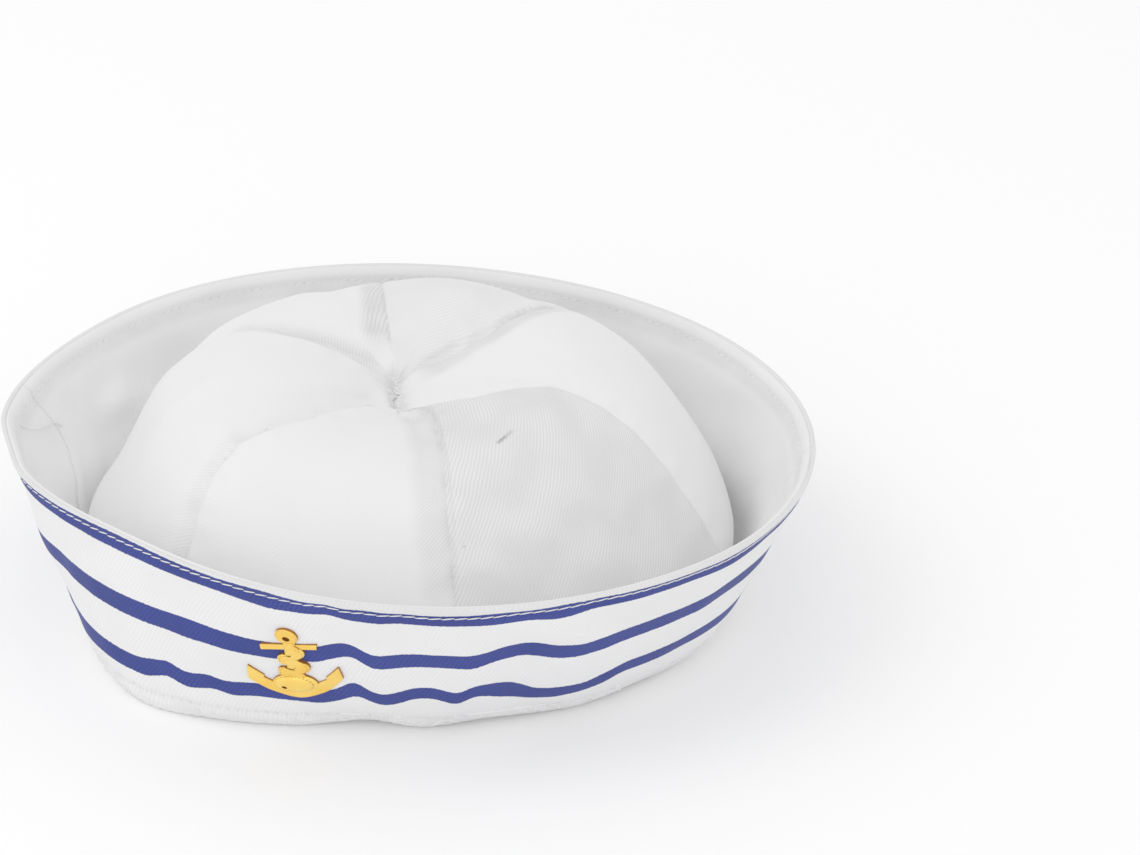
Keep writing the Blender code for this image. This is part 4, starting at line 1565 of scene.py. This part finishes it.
class HAT_OT_badge(bpy.types.Operator):
    """Makes the gold anchor badge: arms, shank, stock, head, boss and the flat rope round it"""

    bl_idname = "captain_hat.badge"
    bl_label = "Anchor Badge"

    def execute(self, context):
        settings = context.scene.hat_badge
        plate = settings.plate / MM
        bm = bmesh.new()
        raised_bar(bm, ARM_OUTER, ARM_INNER, plate, True, 90)
        raised_bar(bm, *SHANK_EDGES, plate * 1.05)
        raised_bar(bm, *STOCK_EDGES, plate * 0.95)
        raised_form(bm, oval(*BADGE_HEAD), oval(*HEAD_EYE), lambda flat: plate + 0 * flat[:, 0])
        for start, end in zip(ROPE_TURNS, ROPE_TURNS[1:]):
            half = max(start[2], end[2])
            outline = rounded_strip(start[:2], end[:2], half)
            middle = np.broadcast_to((np.array(start[:2]) + end[:2]) / 2, outline.shape)
            line = np.array([start[:2], end[:2]])
            raised_form(bm, outline, middle, lambda flat: plate + self.strip_top(flat, line, start, end))
        boss = oval(*BADGE_BOSS, BOSS_TILT)
        dome = settings.boss / MM
        raised_form(bm, boss, oval(*BOSS_EYE), lambda flat: plate + self.boss_top(flat, dome))
        bmesh.ops.recalc_face_normals(bm, faces=bm.faces[:])
        # Painted shade: the side walls and the floors of the eyes take the darker edge gold
        for face in bm.faces:
            deep = all(vert.co.z < EYE_FLOOR + 0.05 for vert in face.verts)
            if deep or abs(face.normal.z) < 0.4:
                face.material_index = 1
        placed = on_the_wall(np.array([vert.co for vert in bm.verts]), settings.height)
        for vert, place in zip(bm.verts, placed):
            vert.co = place
        badge = new_piece("anchor_badge_finished", bm, plated_gold(settings.gold))
        badge.data.materials.append(edge_shade_gold(settings.edge))
        badge.data.uv_layers[0].name = "relief"
        badge.data.set_sharp_from_angle(angle=math.radians(40))
        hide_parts("anchor_badge")
        return {"FINISHED"}

    def strip_top(self, flat, line, start, end):
        """Rise of one pass of the rope: round across, and lifted from its first turn to its second."""
        way = line[1] - line[0]
        share = np.clip((flat - line[0]) @ way / (way @ way), 0, 1)
        off = np.linalg.norm(flat - line[0] - share[:, None] * way, axis=1)
        half = max(start[2], end[2])
        lift = start[3] + (end[3] - start[3]) * share
        return lift * (1 - 0.55 * np.clip(off / half, 0, 1) ** 2) + 0.15

    def boss_top(self, flat, height):
        """Rise of the boss: a flat border, then a low dome."""
        a = math.radians(BOSS_TILT)
        off = flat - np.array(BADGE_BOSS[:2])
        x = (off[:, 0] * math.cos(a) + off[:, 1] * math.sin(a)) / BADGE_BOSS[2]
        y = (off[:, 1] * math.cos(a) - off[:, 0] * math.sin(a)) / BADGE_BOSS[3]
        reach = np.clip(np.hypot(x, y) / 0.86, 0, 1)
        return 0.25 + height * np.sqrt(1 - reach ** 2)


# The photo's whites lie close together, which this gamma does to the picture
VIEW_GAMMA = 1.3

# Places and width of the two round lamps, in metres
KEY_PLACE = (-0.7, -0.5, 1.3)
FILL_PLACE = (0.2, -1.2, 0.3)
LAMP_WIDTH = 1.0


class HAT_OT_stage(bpy.types.Operator):
    """Sets the floor, the studio light and the camera of the photo"""

    bl_idname = "captain_hat.stage"
    bl_label = "Stage"

    def execute(self, context):
        settings = context.scene.hat_stage
        scene = context.scene
        scene.view_settings.view_transform = "Standard"
        scene.view_settings.gamma = VIEW_GAMMA
        bm = bmesh.new()
        bmesh.ops.create_grid(bm, x_segments=1, y_segments=1, size=6.0)
        mesh = bpy.data.meshes.new("floor")
        bm.to_mesh(mesh)
        bm.free()
        mat, tree, shader = blank_material("painted_floor")
        feed(tree, shader, {"Base Color": (*settings.floor, 1), "Roughness": 0.9,
                            "Specular IOR Level": 0.0})
        mesh.materials.append(mat)
        floor = bpy.data.objects.new("floor", mesh)
        scene.collection.objects.link(floor)
        world = bpy.data.worlds.new("studio")
        world.use_nodes = True
        feed(world.node_tree, world.node_tree.nodes["Background"], [(1, 1, 1, 1), settings.sky])
        scene.world = world
        for name, energy, place in (("softbox", settings.key, KEY_PLACE),
                                    ("low_fill", settings.fill, FILL_PLACE)):
            lamp = bpy.data.lights.new(name, "AREA")
            lamp.shape = "DISK"
            lamp.size = LAMP_WIDTH
            lamp.energy = energy
            softbox = bpy.data.objects.new(name, lamp)
            softbox.location = place
            softbox.rotation_euler = (-softbox.location).to_track_quat("-Z", "Y").to_euler()
            scene.collection.objects.link(softbox)
        self.add_camera(scene)
        return {"FINISHED"}

    def add_camera(self, scene):
        """A long lens from the front, a little to the left of the wearer and above"""
        a = math.radians(VIEW_TURN)
        e = math.radians(VIEW_RISE)
        back = Vector((math.sin(a) * math.cos(e), -math.cos(a) * math.cos(e), math.sin(e)))
        right = Vector((math.cos(a), math.sin(a), 0))
        lens = bpy.data.cameras.new("photo_camera")
        lens.sensor_width = SENSOR_WIDTH
        lens.lens = FOCAL_PIXELS * SENSOR_WIDTH / PHOTO_WIDTH
        lens.clip_start = 0.05
        lens.clip_end = 20
        camera = bpy.data.objects.new("photo_camera", lens)
        camera.location = CAMERA_PLACE
        camera.rotation_euler = Matrix((right, back.cross(right), back)).transposed().to_euler()
        scene.collection.objects.link(camera)
        scene.camera = camera


class HAT_PT_sidebar(bpy.types.Panel):
    """Lists the hat's pieces and settings in the 3D view's sidebar"""

    bl_label = "Captain Hat"
    bl_idname = "HAT_PT_sidebar"
    bl_space_type = "VIEW_3D"
    bl_region_type = "UI"
    bl_category = "Captain Hat"

    def draw(self, context):
        for name, group in SETTINGS.items():
            box = self.layout.box()
            for setting in group.__annotations__:
                box.prop(getattr(context.scene, name), setting)
        for operator in OPERATORS:
            self.layout.operator(operator.bl_idname)


SETTINGS = {
    "hat_cloth": ClothSettings,
    "hat_brim": BrimSettings,
    "hat_crown": CrownSettings,
    "hat_stitches": StitchSettings,
    "hat_badge": BadgeSettings,
    "hat_stage": StageSettings,
}
OPERATORS = [
    HAT_OT_stage,
    HAT_OT_striped_brim,
    HAT_OT_brim_facing,
    HAT_OT_crown,
    HAT_OT_stitching,
    HAT_OT_badge,
]


def register():
    for name, group in SETTINGS.items():
        bpy.utils.register_class(group)
        setattr(bpy.types.Scene, name, bpy.props.PointerProperty(type=group))
    for operator in OPERATORS:
        bpy.utils.register_class(operator)
    bpy.utils.register_class(HAT_PT_sidebar)


def unregister():
    bpy.utils.unregister_class(HAT_PT_sidebar)
    for operator in reversed(OPERATORS):
        bpy.utils.unregister_class(operator)
    for name, group in reversed(SETTINGS.items()):
        delattr(bpy.types.Scene, name)
        bpy.utils.unregister_class(group)


def main():
    register()
    bpy.ops.captain_hat.stage()
    bpy.ops.captain_hat.striped_brim()
    bpy.ops.captain_hat.brim_facing()
    bpy.ops.captain_hat.crown()
    bpy.ops.captain_hat.stitching()
    bpy.ops.captain_hat.badge()


if __name__ == "__main__":
    main()
